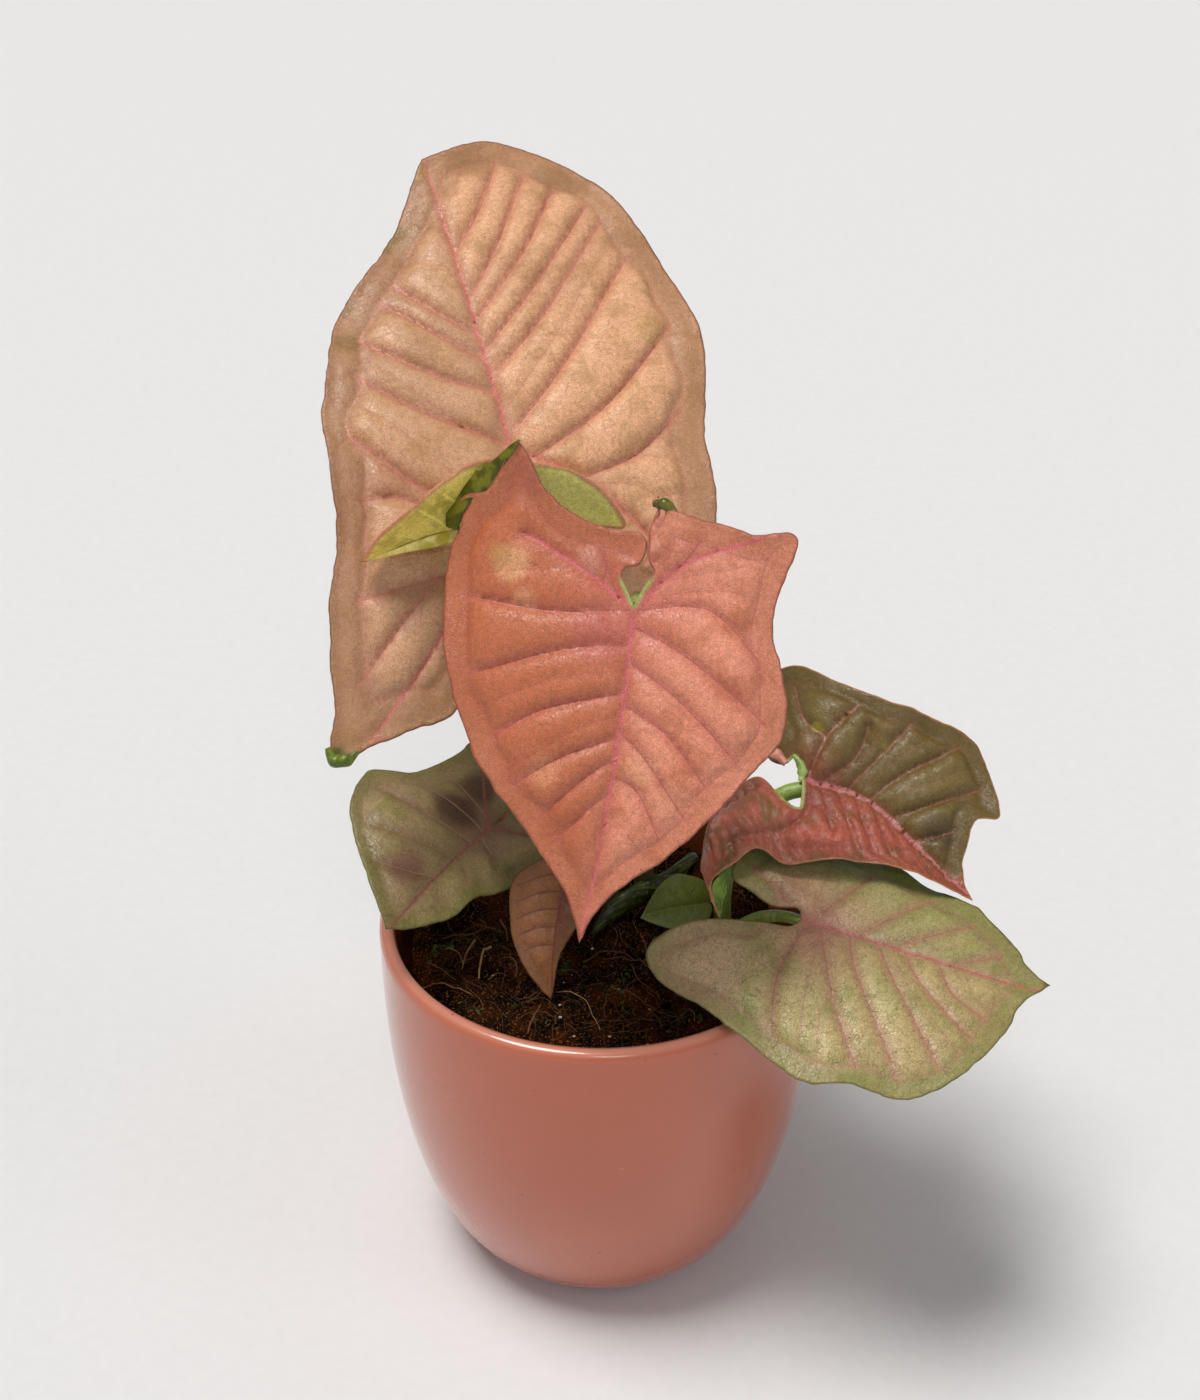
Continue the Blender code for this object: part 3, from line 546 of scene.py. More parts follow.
        "spots": [(15, -14, 12, (128, 74, 50), 0.75), (25, -7, 8, (98, 60, 36), 0.6),
            (-15, -5, 2.0, (176, 166, 50), 0.7), (-22, 12, 2, (180, 168, 60), 0.6),
            (-2, 54, 6, (186, 84, 76), 0.7), (-11, 38, 7, (70, 54, 22), 0.7),
            (-26, 14, 9, (124, 100, 54), 0.6), (48, 3, 4, (92, 128, 34), 0.9)],
        "bow": [(-4, 0), (0, 0.5), (5, -3), (10, -5.5), (20, -7), (30, -5), (43, -3), (56, -2)],
    },
    "leafRightLower": {
        "node": "leaf_right_lower", "slot": "leaf_olive", "at": (57.3, -26.0, 129.9),
        "heading": -24, "pitch": -4, "roll": -15,
        "tip": 68, "lobe": 40, "half": 40, "arch": 16, "droop": 10, "sweep": -7,
        "fold": (6, 6), "cup": (-32, -20),
        "left": [(-2.5, -4), (-1, -11), (-3, -18), (-6, -25), (-15, -25), (-25, -19), (-30, -6), (-30, 8),
            (-28, 20), (-25, 31), (-21.5, 44), (-13, 55.5), (-7, 59.5)],
        "right": [(4.5, -4), (6, -11), (11, -23), (19, -33), (29, -36), (35, -29.5), (37, -17), (44, 4),
            (47.5, 18), (44, 28), (44, 41), (36, 51.5), (20, 59), (5, 62)],
        "end": (-3, 67), "waves": (0.8, 9, 2.0),
        "ribs": [(0, -1, 10, -8, 31, -29), (0, -1, -8, -6, -18, -13)],
        "veins": [(1, 4, 22, 15, 40, 28), (0, 12, 12, 18, 38, 38), (0, 20, 12, 29, 33, 48),
            (0, 28, 9, 35, 21, 52), (0, 37, 9, 44, 15, 57), (0, 14, -8, 20, -27, 34),
            (0, 24, -6, 31, -20, 47), (0, 40, -4, 46, -11, 56), (0, 1, -15, 8, -29, 14),
            (3, 0, 22, -1, 44, 6), (0, -2, -6, -11, -13, -22)],
        "fine": [(21, 14, 30, 14, 42, 18), (13, -1, 26, -10, 38, -12), (0, 44, 9, 50, 12, 58),
            (0, 0, -14, 0, -28, -2), (0, 32, -5, 38, -15, 50), (0, 24, 11, 32, 27, 51),
            (6, 5, 24, 8, 44, 13)],
        "loop": 5.2, "open": 17, "puff": 3.4, "panel": 4.2,
        "look": {"right": (190, 168, 116), "left": (168, 156, 104), "patch": (141, 147, 70),
            "halo": (211, 156, 129), "vein": (176, 106, 94), "rib": (182, 102, 96),
            "margin": (149, 153, 76), "rim": (115, 100, 53), "net": (128, 104, 66), "netAmount": 0.75,
            "under": (128, 140, 70), "heart": 0.75, "heartReach": 26.0, "haloAmount": 0.35},
        # the large pale spot at (24, -20) is painted light on the lobe where the blades above shade it
        "spots": [(24, -20, 18, (224, 184, 150), 0.8), (2, 4, 8, (186, 122, 108), 0.5),
            (-8, -8, 7, (176, 126, 100), 0.6), (44, 28, 7, (138, 150, 62), 0.7),
            (1, 60, 5, (140, 148, 64), 0.7), (-3, 67, 3, (96, 90, 40), 0.9),
            (18, 27, 9, (186, 172, 116), 0.5)],
    },
    "leafLeft": {
        "node": "leaf_left", "slot": "leaf_grey_green", "at": (-31.7, 4.0, 139.8),
        "heading": 238, "pitch": 2, "roll": 30,
        "tip": 46, "lobe": 28, "half": 34, "arch": 22, "droop": 0, "sweep": -3,
        "fold": (-14, 4), "cup": (-30, -25),
        "left": [(-0.3, -6), (-0.5, -15), (-8, -21), (-17, -19), (-19, -8), (-16, 10), (-12, 20),
            (-11.5, 28), (-7, 37), (-3.5, 42.5)],
        "right": [(0.6, -7), (1.0, -17), (11, -26), (23, -24), (24, -12), (28, 0), (34, 6), (37.5, 12),
            (33, 25), (20, 36), (8, 43)],
        "end": (1, 46.5), "waves": (0.8, 6, 0),
        "ribs": [(0, -1, -6, -8, -12, -16), (0, -1, 9, -9, 18, -20)],
        "veins": [(0, 2, 12, 2, 26, 4), (0, 8, 14, 11, 31, 14), (0, 16, 12, 21, 27, 27),
            (0, 25, 9, 31, 18, 35), (0, 4, -8, 5, -16, 8), (0, 14, -6, 17, -13, 21),
            (0, 24, -4, 28, -10, 33), (3, -3, 14, -5, 23, -6)],
        "fine": [(0, 12, 13, 16, 30, 20), (0, 21, 10, 26, 22, 32), (0, 32, 5, 36, 10, 40)],
        "loop": 4.0, "open": 14, "puff": 3.2, "panel": 4.0,
        "look": {"right": (173, 150, 105), "left": (197, 175, 113), "patch": (131, 131, 53),
            "halo": (136, 92, 76), "vein": (157, 120, 86), "rib": (151, 81, 73), "margin": (124, 130, 52),
            "rim": (100, 103, 35), "net": (100, 75, 44), "under": (92, 112, 50), "haloReach": 7.0,
            "specks": 0.8, "loopAmount": 0.25, "heart": 0.75, "heartReach": 20.0},
        # the pale green spots at (-12, 21) and (-12, 5) are painted light where the blades above shade it;
        # the dark brown spots at (11, -9) and (10.5, 3) are painted shadow
        "spots": [(7, 29, 8, (136, 88, 76), 0.7), (-12, 21, 5, (128, 134, 52), 0.6),
            (11, -9, 9, (80, 44, 22), 0.9), (21, 26, 8, (158, 140, 92), 0.6),
            (-12, 5, 5, (134, 138, 60), 0.5), (10.5, 3, 9, (76, 40, 20), 0.9),
            (33, 18, 5, (140, 126, 88), 0.5)],
    },
    "leafSmall": {
        "node": "leaf_small", "slot": "leaf_brown", "at": (-8.8, -7.0, 134.0),
        "heading": 250, "pitch": -36, "roll": 0,
        "tip": 38, "lobe": 8, "half": 14, "arch": 26, "droop": 0, "sweep": -5,
        "fold": (20, 20), "cup": (-30, -30),
        "left": [(-3, -3), (-7, -2), (-10, 4), (-9, 12), (-5, 19), (-1.5, 27), (-0.5, 33)],
        "right": [(3, -3), (8, -1), (13, 4), (15, 10), (13, 21), (8.5, 30), (4, 35)],
        "end": (0.5, 37), "waves": (0.3, 5, 0),
        "ribs": [],
        
        "veins": [(0, y, 6, y + 2, 14, y + 7) for y in (2, 7, 12, 17, 22)]
            + [(0, y, -4, y + 2, -9, y + 6) for y in (3, 9, 15)],
        "fine": [(0, 27, 3, 29, 7, 32)],
        "loop": 2.2, "open": 4, "puff": 1.8, "panel": 2.6,
        "look": {"right": (171, 110, 61), "left": (124, 71, 40), "patch": (149, 98, 46),
            "halo": (172, 104, 73), "vein": (117, 63, 43), "rib": (123, 55, 43), "margin": (144, 101, 49),
            "rim": (115, 72, 34), "net": (125, 72, 46), "under": (110, 120, 60), "zone": 1.5,
            "loopAmount": 0.15},
    },
    "shootBright": {
        "node": "shoot_bright", "slot": "shoot", "at": (30.0, 5.0, 112.5),
        "heading": 193, "pitch": 2, "roll": 0,
        "tip": 19, "lobe": 4, "half": 8, "arch": 10, "droop": 0, "sweep": 0,
        "fold": (-8, 62), "cup": (-20, -30),
        "left": [(-2, -2.5), (-6, 0), (-7.5, 5), (-7, 11), (-4, 16)],
        "right": [(2, -3), (7, -1), (10, 5), (9, 9), (5, 14)],
        "end": (-1, 19), "waves": (0.2, 3, 0),
        "ribs": [],
        
        "veins": [(0, y, 4, y + 1.5, 8, y + 4) for y in (2, 6, 10)]
            + [(0, y, -3, y + 1.5, -6, y + 4) for y in (2, 6, 10)],
        "fine": [],
        "loop": 1.4, "open": 3, "puff": 1.0, "panel": 2.0,
        "look": {"right": (114, 124, 10), "left": (86, 102, 8), "patch": (68, 86, 4),
            "halo": (100, 112, 14), "vein": (98, 104, 20), "rib": (108, 108, 28), "margin": (116, 124, 16),
            "rim": (98, 106, 16), "net": (58, 68, 4), "under": (68, 82, 6), "specks": 0.2, "gloss": 0.4},
    },
}


plainNotch = (0, -2.2)        # where the outline meets the stalk, unless a blade has its own


def eased(t):
    t = np.clip(t, 0, 1)
    return t * t * (3 - 2 * t)


def alongBlade(value, y, leaf):        # one number, or three: at the lobes, at the stalk and at the tip
    if np.isscalar(value):
        return np.full_like(y, float(value))
    lobe, stalk, tip = value
    return stalk + (tip - stalk) * eased(y / leaf["tip"]) + (lobe - stalk) * eased(-y / leaf["lobe"])


def creaseOf(y, leaf):        # how far the fold along the middle leaves the straight line
    places, offsets = zip(*leaf.get("bow", [(0, 0)]))
    return sum(np.interp(y + ahead, places, offsets) for ahead in (-4, -2, 0, 2, 4)) / 5


def turnBeyond(flat, lift, fold):        # rolls what lies beyond a line: point, way, turn and radius
    x, y, toward, turn, radius = fold
    way = np.array([math.cos(math.radians(toward)), math.sin(math.radians(toward))])
    beyond = (flat - (x, y)) @ way
    angle = np.clip(beyond / radius, 0, abs(math.radians(turn)))
    rest = beyond - angle * radius
    sign = math.copysign(1, turn)
    run = radius * np.sin(angle) + rest * np.cos(angle)
    rise = sign * (radius * (1 - np.cos(angle)) + rest * np.sin(angle))
    flat = flat + (run - beyond - sign * np.sin(angle) * lift)[:, None] * way
    return flat, rise + lift * np.cos(angle)


def bent(flat, lift, leaf):
    flat = flat.copy()
    flat[:, 0] += leaf["sweep"] * np.clip(flat[:, 1] / leaf["tip"], 0, None) ** 2
    for fold in leaf.get("folds", []):
        flat, lift = turnBeyond(flat, lift, fold)
    crease = creaseOf(flat[:, 1], leaf)
    x, y = flat[:, 0] - crease, flat[:, 1]
    right = x >= 0
    fold, cup = [np.where(right, alongBlade(leaf[key][1], y, leaf), alongBlade(leaf[key][0], y, leaf))
                 for key in ("fold", "cup")]
    start = np.radians(fold)
    curl = np.radians(cup) / leaf["half"]
    angle = start + curl * np.abs(x)
    across = (np.sin(angle) - np.sin(start)) / curl - np.sin(angle) * lift
    across = np.where(right, across, -across) + crease
    up = (np.cos(start) - np.cos(angle)) / curl + np.cos(angle) * lift
    droop, arch = math.radians(leaf["droop"] or 0.01), math.radians(leaf["arch"])
    bend = np.where(y >= 0, -arch / leaf["tip"], droop / leaf["lobe"])
    lean = bend * y
    ahead = np.sin(lean) / bend - up * np.sin(lean)
    return np.stack([across, ahead, (1 - np.cos(lean)) / bend + up * np.cos(lean)], -1)


def bladeAxes(leaf):
    h, p, r = (math.radians(leaf[key]) for key in ("heading", "pitch", "roll"))
    ahead = np.array([math.cos(h) * math.cos(p), math.sin(h) * math.cos(p), math.sin(p)])
    level = np.array([math.sin(h), -math.cos(h), 0])
    up = np.cross(level, ahead)
    return level * math.cos(r) + up * math.sin(r), ahead, up * math.cos(r) - level * math.sin(r)


def placed(flat, lift, leaf):
    return (bent(flat, lift, leaf) @ np.array(bladeAxes(leaf)) + leaf["at"]) * mm


def curveThrough(points, spacing):
    points = [np.array(p, float) for p in points]
    ends = [2 * points[0] - points[1]] + points + [2 * points[-1] - points[-2]]
    made = []
    for a, b, c, d in zip(ends, ends[1:], ends[2:], ends[3:]):
        steps = max(1, round(float(np.linalg.norm(c - b)) / spacing))
        for k in range(steps):
            t = k / steps
            made.append(0.5 * (2 * b + (c - a) * t + (2 * a - 5 * b + 4 * c - d) * t ** 2
                               + (3 * b - a - 3 * c + d) * t ** 3))
    return made


def smallness(leaf, wide):        # below 1 for blades whose half is narrower than this
    return min(1.0, leaf["half"] / wide)


def bladeOutline(leaf, spacing):
    notch = leaf.get("notch", plainNotch)
    right = curveThrough([notch] + leaf["right"] + [leaf["end"]], spacing)
    line = np.array(right + curveThrough([leaf["end"]] + leaf["left"][::-1] + [notch], spacing))
    ways = np.roll(line, -1, axis=0) - np.roll(line, 1, axis=0)
    ways /= np.linalg.norm(ways, axis=1)[:, None]
    ragged = bladeMesh["ragged"] * (softNoise(line, 6.0, 7.7) + 0.5 * softNoise(line, 2.5, 5.1))
    fromStalk = np.hypot(line[:, 0], line[:, 1]) - leaf["open"]
    ragged *= np.clip(fromStalk / 6, 0, 1) * smallness(leaf, 30)
    return line + ragged[:, None] * np.stack([ways[:, 1], -ways[:, 0]], -1)


def distanceTo(points, starts, ends):        # least distance of each point to any of the short lines
    found = np.full(len(points), 1e3)
    along = ends - starts
    length = (along ** 2).sum(-1) + 1e-12
    some = 1000        # points at a time, to spare memory
    for first in range(0, len(points), some):
        ahead = points[first:first + some, None] - starts
        t = np.clip((ahead * along).sum(-1) / length, 0, 1)
        gap = ahead - t[..., None] * along
        found[first:first + some] = np.sqrt((gap ** 2).sum(-1).min(axis=1))
    return found


def toLoop(points, loop):
    return distanceTo(points, loop, np.roll(loop, -1, axis=0))


def toLines(points, lines):
    if not lines:
        return np.full(len(points), 99.0)
    starts = np.concatenate([line[:-1] for line in lines])
    return distanceTo(points, starts, np.concatenate([line[1:] for line in lines]))


def isInside(points, line):
    x, y = points[:, 0:1], points[:, 1:2]
    after = np.roll(line, -1, axis=0)
    spans = (line[:, 1] > y) != (after[:, 1] > y)
    rise = np.where(after[:, 1] == line[:, 1], 1e-9, after[:, 1] - line[:, 1])
    hit = x < (after[:, 0] - line[:, 0]) * (y - line[:, 1]) / rise + line[:, 0]
    return (spans & hit).sum(axis=1) % 2 == 1


def marginOf(outline, leaf):        # the outline without the notch at the stalk
    keep = np.hypot(outline[:, 0], outline[:, 1]) > leaf["open"]
    after = np.roll(outline, -1, axis=0)
    return outline[keep], after[keep]


def veinLines(leaf, outline, spacing):        # cut off where they leave the blade or reach its outer vein
    heights = np.arange(leaf.get("notch", plainNotch)[1] + spacing, leaf["end"][1] - spacing, spacing)
    lines = {"rib": [np.stack([creaseOf(heights, leaf), heights], -1)], "vein": [], "fine": []}
    for kind, source in (("rib", "ribs"), ("vein", "veins"), ("fine", "fine")):
        for route in leaf[source]:
            points = list(zip(route[::2], route[1::2]))
            line = np.array(curveThrough(points, spacing) + [np.array(points[-1], float)])
            line[:, 0] += creaseOf(line[:, 1], leaf) * np.clip(1 - np.abs(line[:, 0]) / 30, 0, 1)
            clear = toLoop(line, outline) > spacing * 0.8
            clear &= isInside(line, outline)
            if kind != "rib":
                clear &= distanceTo(line, *marginOf(outline, leaf)) > leaf["loop"] * 0.85
            if not clear.any():
                continue
            start = int(np.argmax(clear))
            rest = clear[start:]
            line = line[start:start + (len(rest) if rest.all() else int(np.argmin(rest)))]
            if len(line) > 2:
                lines[kind].append(line)
    return lines


def splitBlade(outline, lines, spacing):        # even triangles, with the outline and all veins as edges
    low, high = outline.min(axis=0), outline.max(axis=0)
    grid = []
    for row, y in enumerate(np.arange(low[1], high[1], spacing * math.sqrt(3) / 2)):
        for x in np.arange(low[0] - spacing, high[0] + spacing, spacing):
            grid.append((x + spacing / 2 * (row % 2), y))
    grid = np.array(grid)
    grid = grid[isInside(grid, outline)]
    every = [line for kind in lines.values() for line in kind]
    grid = grid[(toLoop(grid, outline) > spacing * 0.6) & (toLines(grid, every) > spacing * 0.55)]
    points = [Vector(p) for p in list(outline) + list(grid)]
    edges = []
    for line in every:
        edges += [(len(points) + k, len(points) + k + 1) for k in range(len(line) - 1)]
        points += [Vector(p) for p in line]
    insideLoop, closer = 1, 1e-4        # keep what lies inside, and join points nearer than this
    found = delaunay_2d_cdt(points, edges, [list(range(len(outline)))], insideLoop, closer)
    return np.array([tuple(p) for p in found[0]]), [tuple(face) for face in found[2]]


def softNoise(flat, size, seed):
    return np.array([noise.noise(Vector((x / size, y / size, seed))) for x, y in flat])


def nearTo(distance, reach):        # 1 at a line, and nothing a few times its reach away
    return np.exp(-(distance / reach) ** 2)


def inflated(triangles, held, height, stiffness):        # a skin blown up between the lines that hold it
    sides = np.array(triangles)[:, [0, 1, 1, 2, 2, 0]].reshape(-1, 2)
    sides = np.unique(np.sort(sides, axis=1), axis=0)
    a, b, count = sides[:, 0], sides[:, 1], len(held)
    around = np.bincount(a, minlength=count) + np.bincount(b, minlength=count)
    lift = np.zeros(count)
    for turn in range(relief["turns"]):
        total = np.bincount(a, lift[b], count) + np.bincount(b, lift[a], count)
        lift = (total / around + stiffness * height) / (1 + stiffness + held)
    return lift


def marginWaves(flat, leaf, edge):
    height, count, phase = leaf["waves"]
    close = np.clip(1 - edge / (bladeMesh["waved"] * leaf["half"]), 0, 1)
    bearing = np.arctan2(flat[:, 0], flat[:, 1] - 0.2 * leaf["tip"])
    lift = height * close ** 2 * np.sin(count * bearing + phase)
    for x, y, radius, rise in leaf.get("bulges", []):
        lift += rise * np.exp(-((flat[:, 0] - x) ** 2 + (flat[:, 1] - y) ** 2) / radius ** 2)
    return lift


def raisedPanels(flat, triangles, leaf, near, spacing):        # between the veins, in shares of most
    held = np.where(np.minimum(near["rib"], near["vein"]) < 0.3 * spacing, relief["pinned"], 0.0)
    held += (relief["fineHold"] * spacing * nearTo(near["fine"], relief["lineReach"])
             + relief["loopHold"] * nearTo(near["outer"], relief["lineReach"]))
    held += relief["edgeHold"] * nearTo(near["edge"], relief["edgeReach"])
    uneven = 1 + relief["uneven"] * softNoise(flat, relief["unevenSize"], 6.3)
    swell = leaf["puff"] * np.where(near["outer"] < 0, relief["outsideLoop"], 1.0) * uneven
    return inflated(triangles, held, swell, spacing ** 2 / (4 * leaf["panel"] ** 2))


def smallBumps(flat, leaf, near):
    bumps = sum(height * softNoise(flat, size, seed) for size, seed, height in relief["rough"])
    bumps = leaf.get("rough", 1.0) * bumps
    if "crimp" in leaf:        # pleats across one half
        side, rise, pitch, slant = leaf["crimp"]
        run = flat[:, 1] - slant * np.abs(flat[:, 0]) + 6.0 * softNoise(flat, 10.0, 2.2)
        pleats = rise * np.sin(math.tau * run / pitch) * np.clip((near["rib"] - 2) / 5, 0, 1)
        bumps += np.where(side * (flat[:, 0] - creaseOf(flat[:, 1], leaf)) > 0, pleats, 0.0)
    return bumps


def bladeRelief(flat, triangles, leaf, near, spacing):
    puffed = raisedPanels(flat, triangles, leaf, near, spacing)
    most = leaf["puff"] * relief["most"]
    near["high"] = np.clip(puffed / most, 0, 1)
    puffed = most * np.tanh(puffed / most)
    rise = puffed - 0.4 * most + smallBumps(flat, leaf, near) * smallness(leaf, 30)
    return marginWaves(flat, leaf, near["edge"]) + rise * np.clip(near["edge"] / relief["rim"], 0, 1)


def leafShell(name, middle, triangles, above, below):        # both faces of a thin sheet and its rim
    corners = np.array(triangles)
    first, second, third = (middle[corners[:, k]] for k in range(3))
    facing = np.cross(second - first, third - first)
    normals = np.zeros_like(middle)
    for corner in range(3):
        np.add.at(normals, corners[:, corner], facing)
    normals /= np.linalg.norm(normals, axis=1)[:, None] + 1e-15
    count = len(middle)
    faces = list(triangles) + [(c + count, b + count, a + count) for a, b, c in triangles]
    sides = {(t[k], t[(k + 1) % 3]) for t in triangles for k in range(3)}
    for a, b in sorted(sides):
        if (b, a) not in sides:
            faces += [(b, a, a + count), (b, a + count, b + count)]
    top, bottom = middle + normals * above[:, None] * mm, middle - normals * below[:, None] * mm
    return meshFrom(name, np.vstack([top, bottom]), faces)


def makeBlade(name, leaf):
    spacing = bladeMesh["spacing"] * smallness(leaf, 26)
    outline = bladeOutline(leaf, spacing)
    lines = veinLines(leaf, outline, spacing)
    flat, triangles = splitBlade(outline, lines, spacing)
    near = {kind: toLines(flat, lines[kind]) for kind in lines}
    near["edge"] = toLoop(flat, outline)
    outerVein = leaf["loop"] * (1 + 0.38 * softNoise(flat, 12.0, 8.7))
    near["outer"] = distanceTo(flat, *marginOf(outline, leaf)) - outerVein
    middle = placed(flat, bladeRelief(flat, triangles, leaf, near, spacing), leaf)
    reach = 1 - 0.6 * np.clip(np.hypot(flat[:, 0], flat[:, 1]) / leaf["tip"], 0, 1)
    rim = bladeMesh["thinRim"]
    thick = bladeMesh["thickness"] * (rim + (1 - rim) * np.clip(near["edge"] / 2, 0, 1))
    below = thick / 2 + bladeMesh["ribDepth"] * reach * nearTo(near["rib"], bladeMesh["ribWidth"])
    mesh = leafShell(name, middle, triangles, thick / 2, below)
    near["rib"] = near["rib"] - 0.55 * reach * min(1.0, leaf["tip"] / 60)        # half the width of the line
    near["vein"] = near["vein"] - 0.16 * reach
    near["beside"] = flat[:, 0] - creaseOf(flat[:, 1], leaf)
    for key in ("rib", "vein", "fine", "edge", "outer", "high", "beside"):
        attribute(mesh, key, np.tile(near[key], 2))
    attribute(mesh, "under", np.repeat([0.0, 1.0], len(flat)))
    drawn = np.hstack([flat, np.zeros((len(flat), 1))])
    attribute(mesh, "flat", np.tile(drawn, (2, 1)).ravel(), "FLOAT_VECTOR")
    mesh.materials.append(leafPaint(name, leaf))
    finished(addObject(name, mesh), leaf["slot"], leaf["node"])


plainLook = {        # how strong each layer of a blade's colours is, unless its own look says more
    "patchAmount": 0.7, "haloReach": 3.0, "haloAmount": 0.36, "netAmount": 0.60,
    "veinAmount": 0.85, "ribAmount": 0.85, "loopAmount": 0.5, "marginAmount": 0.45, "rimAmount": 0.75,
    "gloss": 0.38, "specks": 0.6, "zone": 3.0, "heart": 0.0, "heartReach": 20.0, "collar": 0.0, "sink": 0.9,
}
leafPattern = {        # how fine each pattern is, in turns for each millimetre of the flat blade
    "drift": 0.055, "patches": 0.09, "blur": 0.35, "stir": 0.6, "coarseNet": 0.30, "fineNet": 0.95,
    "broken": 0.30, "grain": 2.6, "blotch": 0.75, "specks": 0.14, "gloss": 0.8,
}
leafTints = {"speck": tint(56, 32, 22), "collar": tint(166, 172, 96)}
leafBump = {"grain": 0.14, "net": 0.30, "blotch": 0.25, "depth": 0.00030, "strength": 0.9, "shine": 0.5}


def grey(level):
    return (level, level, level, 1)


def bodyColour(paint, leaf, look, colour, near):        # two halves, patches, a paler strip beside the veins
    flat, drift = near["flat"], near["drift"]
    side = (near["beside"] + (drift - 0.5) * 14.0).steps(-look["zone"], look["zone"])
    body = paint.blend(side, colour["left"], colour["right"])
    body = paint.blend(near["patches"], body, colour["patch"])
    wander = (paint.noise(flat, leafPattern["blur"]) - 0.5) * 3.0
    blur = paint.maths("MINIMUM", near["rib"], near["vein"]) + wander
    body = paint.blend(blur.steps(0.0, look["haloReach"], look["haloAmount"], 0.0), body, colour["halo"])
    if look["heart"]:
        heart = near["stalkward"].steps(2.0, look["heartReach"], look["heart"], 0.0)
        body = paint.blend(heart, body, colour["halo"])
    strip = (near["outer"] + (drift - 0.5) * 5.0).steps(-1.8, 0.8, look["marginAmount"], 0.0)
    body = paint.blend(strip, body, colour["margin"])
    # spots: patches of the leaf's own tone, and on some blades painted highlights, painted light and painted
    # shadow
    for x, y, radius, hue, amount in leaf.get("spots", []):
        away = paint.vector("DISTANCE", flat, (x, y, 0), "Value") + (drift - 0.5) * radius
        body = paint.blend(away.steps(radius * 0.35, radius, amount, 0.0), body, tint(*hue))
    # painted shade in the hollows of the relief and a painted highlight on its raised tops, set by the height
    # of the relief
    sunk = paint.blend(paint.value("high").steps(0.0, 0.8), (0.78, 0.74, 0.72, 1), (1.08, 1.08, 1.07, 1))
    return paint.blend(look["sink"], body, sunk, "MULTIPLY")


def netOf(paint, flat):        # the finest veins, drawn by two sizes of cells and broken here and there
    stir = paint.noise(flat, leafPattern["stir"], 1.0, output="Color")
    moved = paint.vector("ADD", flat, paint.vector("MULTIPLY", stir, (2.0, 2.0, 2.0)))
    coarse, fine = [paint.cells(moved, leafPattern[size], "DISTANCE_TO_EDGE")
                    for size in ("coarseNet", "fineNet")]
    broken = paint.noise(flat, leafPattern["broken"], 1.0).steps(0.35, 0.65, 0.55, 1.0)
    return (coarse.steps(0.0, 0.035, 0.7, 0.0) + fine.steps(0.0, 0.12, 0.6, 0.0)) * broken


def veinedColour(paint, body, look, colour, near):
    drawn = paint.blend(near["net"] * look["netAmount"], body, colour["net"])
    loop = (near["outer"] * near["outer"]).steps(0.01, 0.12, look["loopAmount"], 0.0) * look["veinAmount"]
    lines = ((near["fine"].steps(0.08, 0.38, 0.4 * look["veinAmount"], 0.0), "vein"), (loop, "vein"),
             (near["vein"].steps(-0.05, 0.30, look["veinAmount"], 0.0), "vein"),
             (near["rib"].steps(-0.05, 0.35, look["ribAmount"], 0.0), "rib"))
    for line, key in lines:
        drawn = paint.blend(line, drawn, colour[key])
    return drawn


def underColour(paint, look, colour, near):        # the underside, with pale veins
    dark, pale = [tuple(min(1, share * c) for c in colour["under"][:3]) + (1.0,) for share in (0.72, 1.3)]
    low = paint.blend(near["patches"], colour["under"], colour.get("underPatch", dark))
    low = paint.blend(near["net"] * 0.25, low, dark)
    for key, start, amount in (("vein", 0.0, 0.6), ("fine", 0.1, 0.3), ("rib", 0.0, 0.6)):
        low = paint.blend(near[key].steps(start, 0.5, amount, 0.0), low, pale)
    if "lobeUnder" in colour:
        along = paint.parts(near["flat"])[1] + (near["drift"] - 0.5) * 8.0
        low = paint.blend(along.steps(2.0, 12.0, 0.8, 0.0), low, colour["lobeUnder"])
    if "hem" in colour:
        inward = near["edge"] + (near["drift"] - 0.5) * 1.4
        low = paint.blend(inward.steps(0.5, 1.5, 0.85, 0.0), low, colour["hem"])
    return low


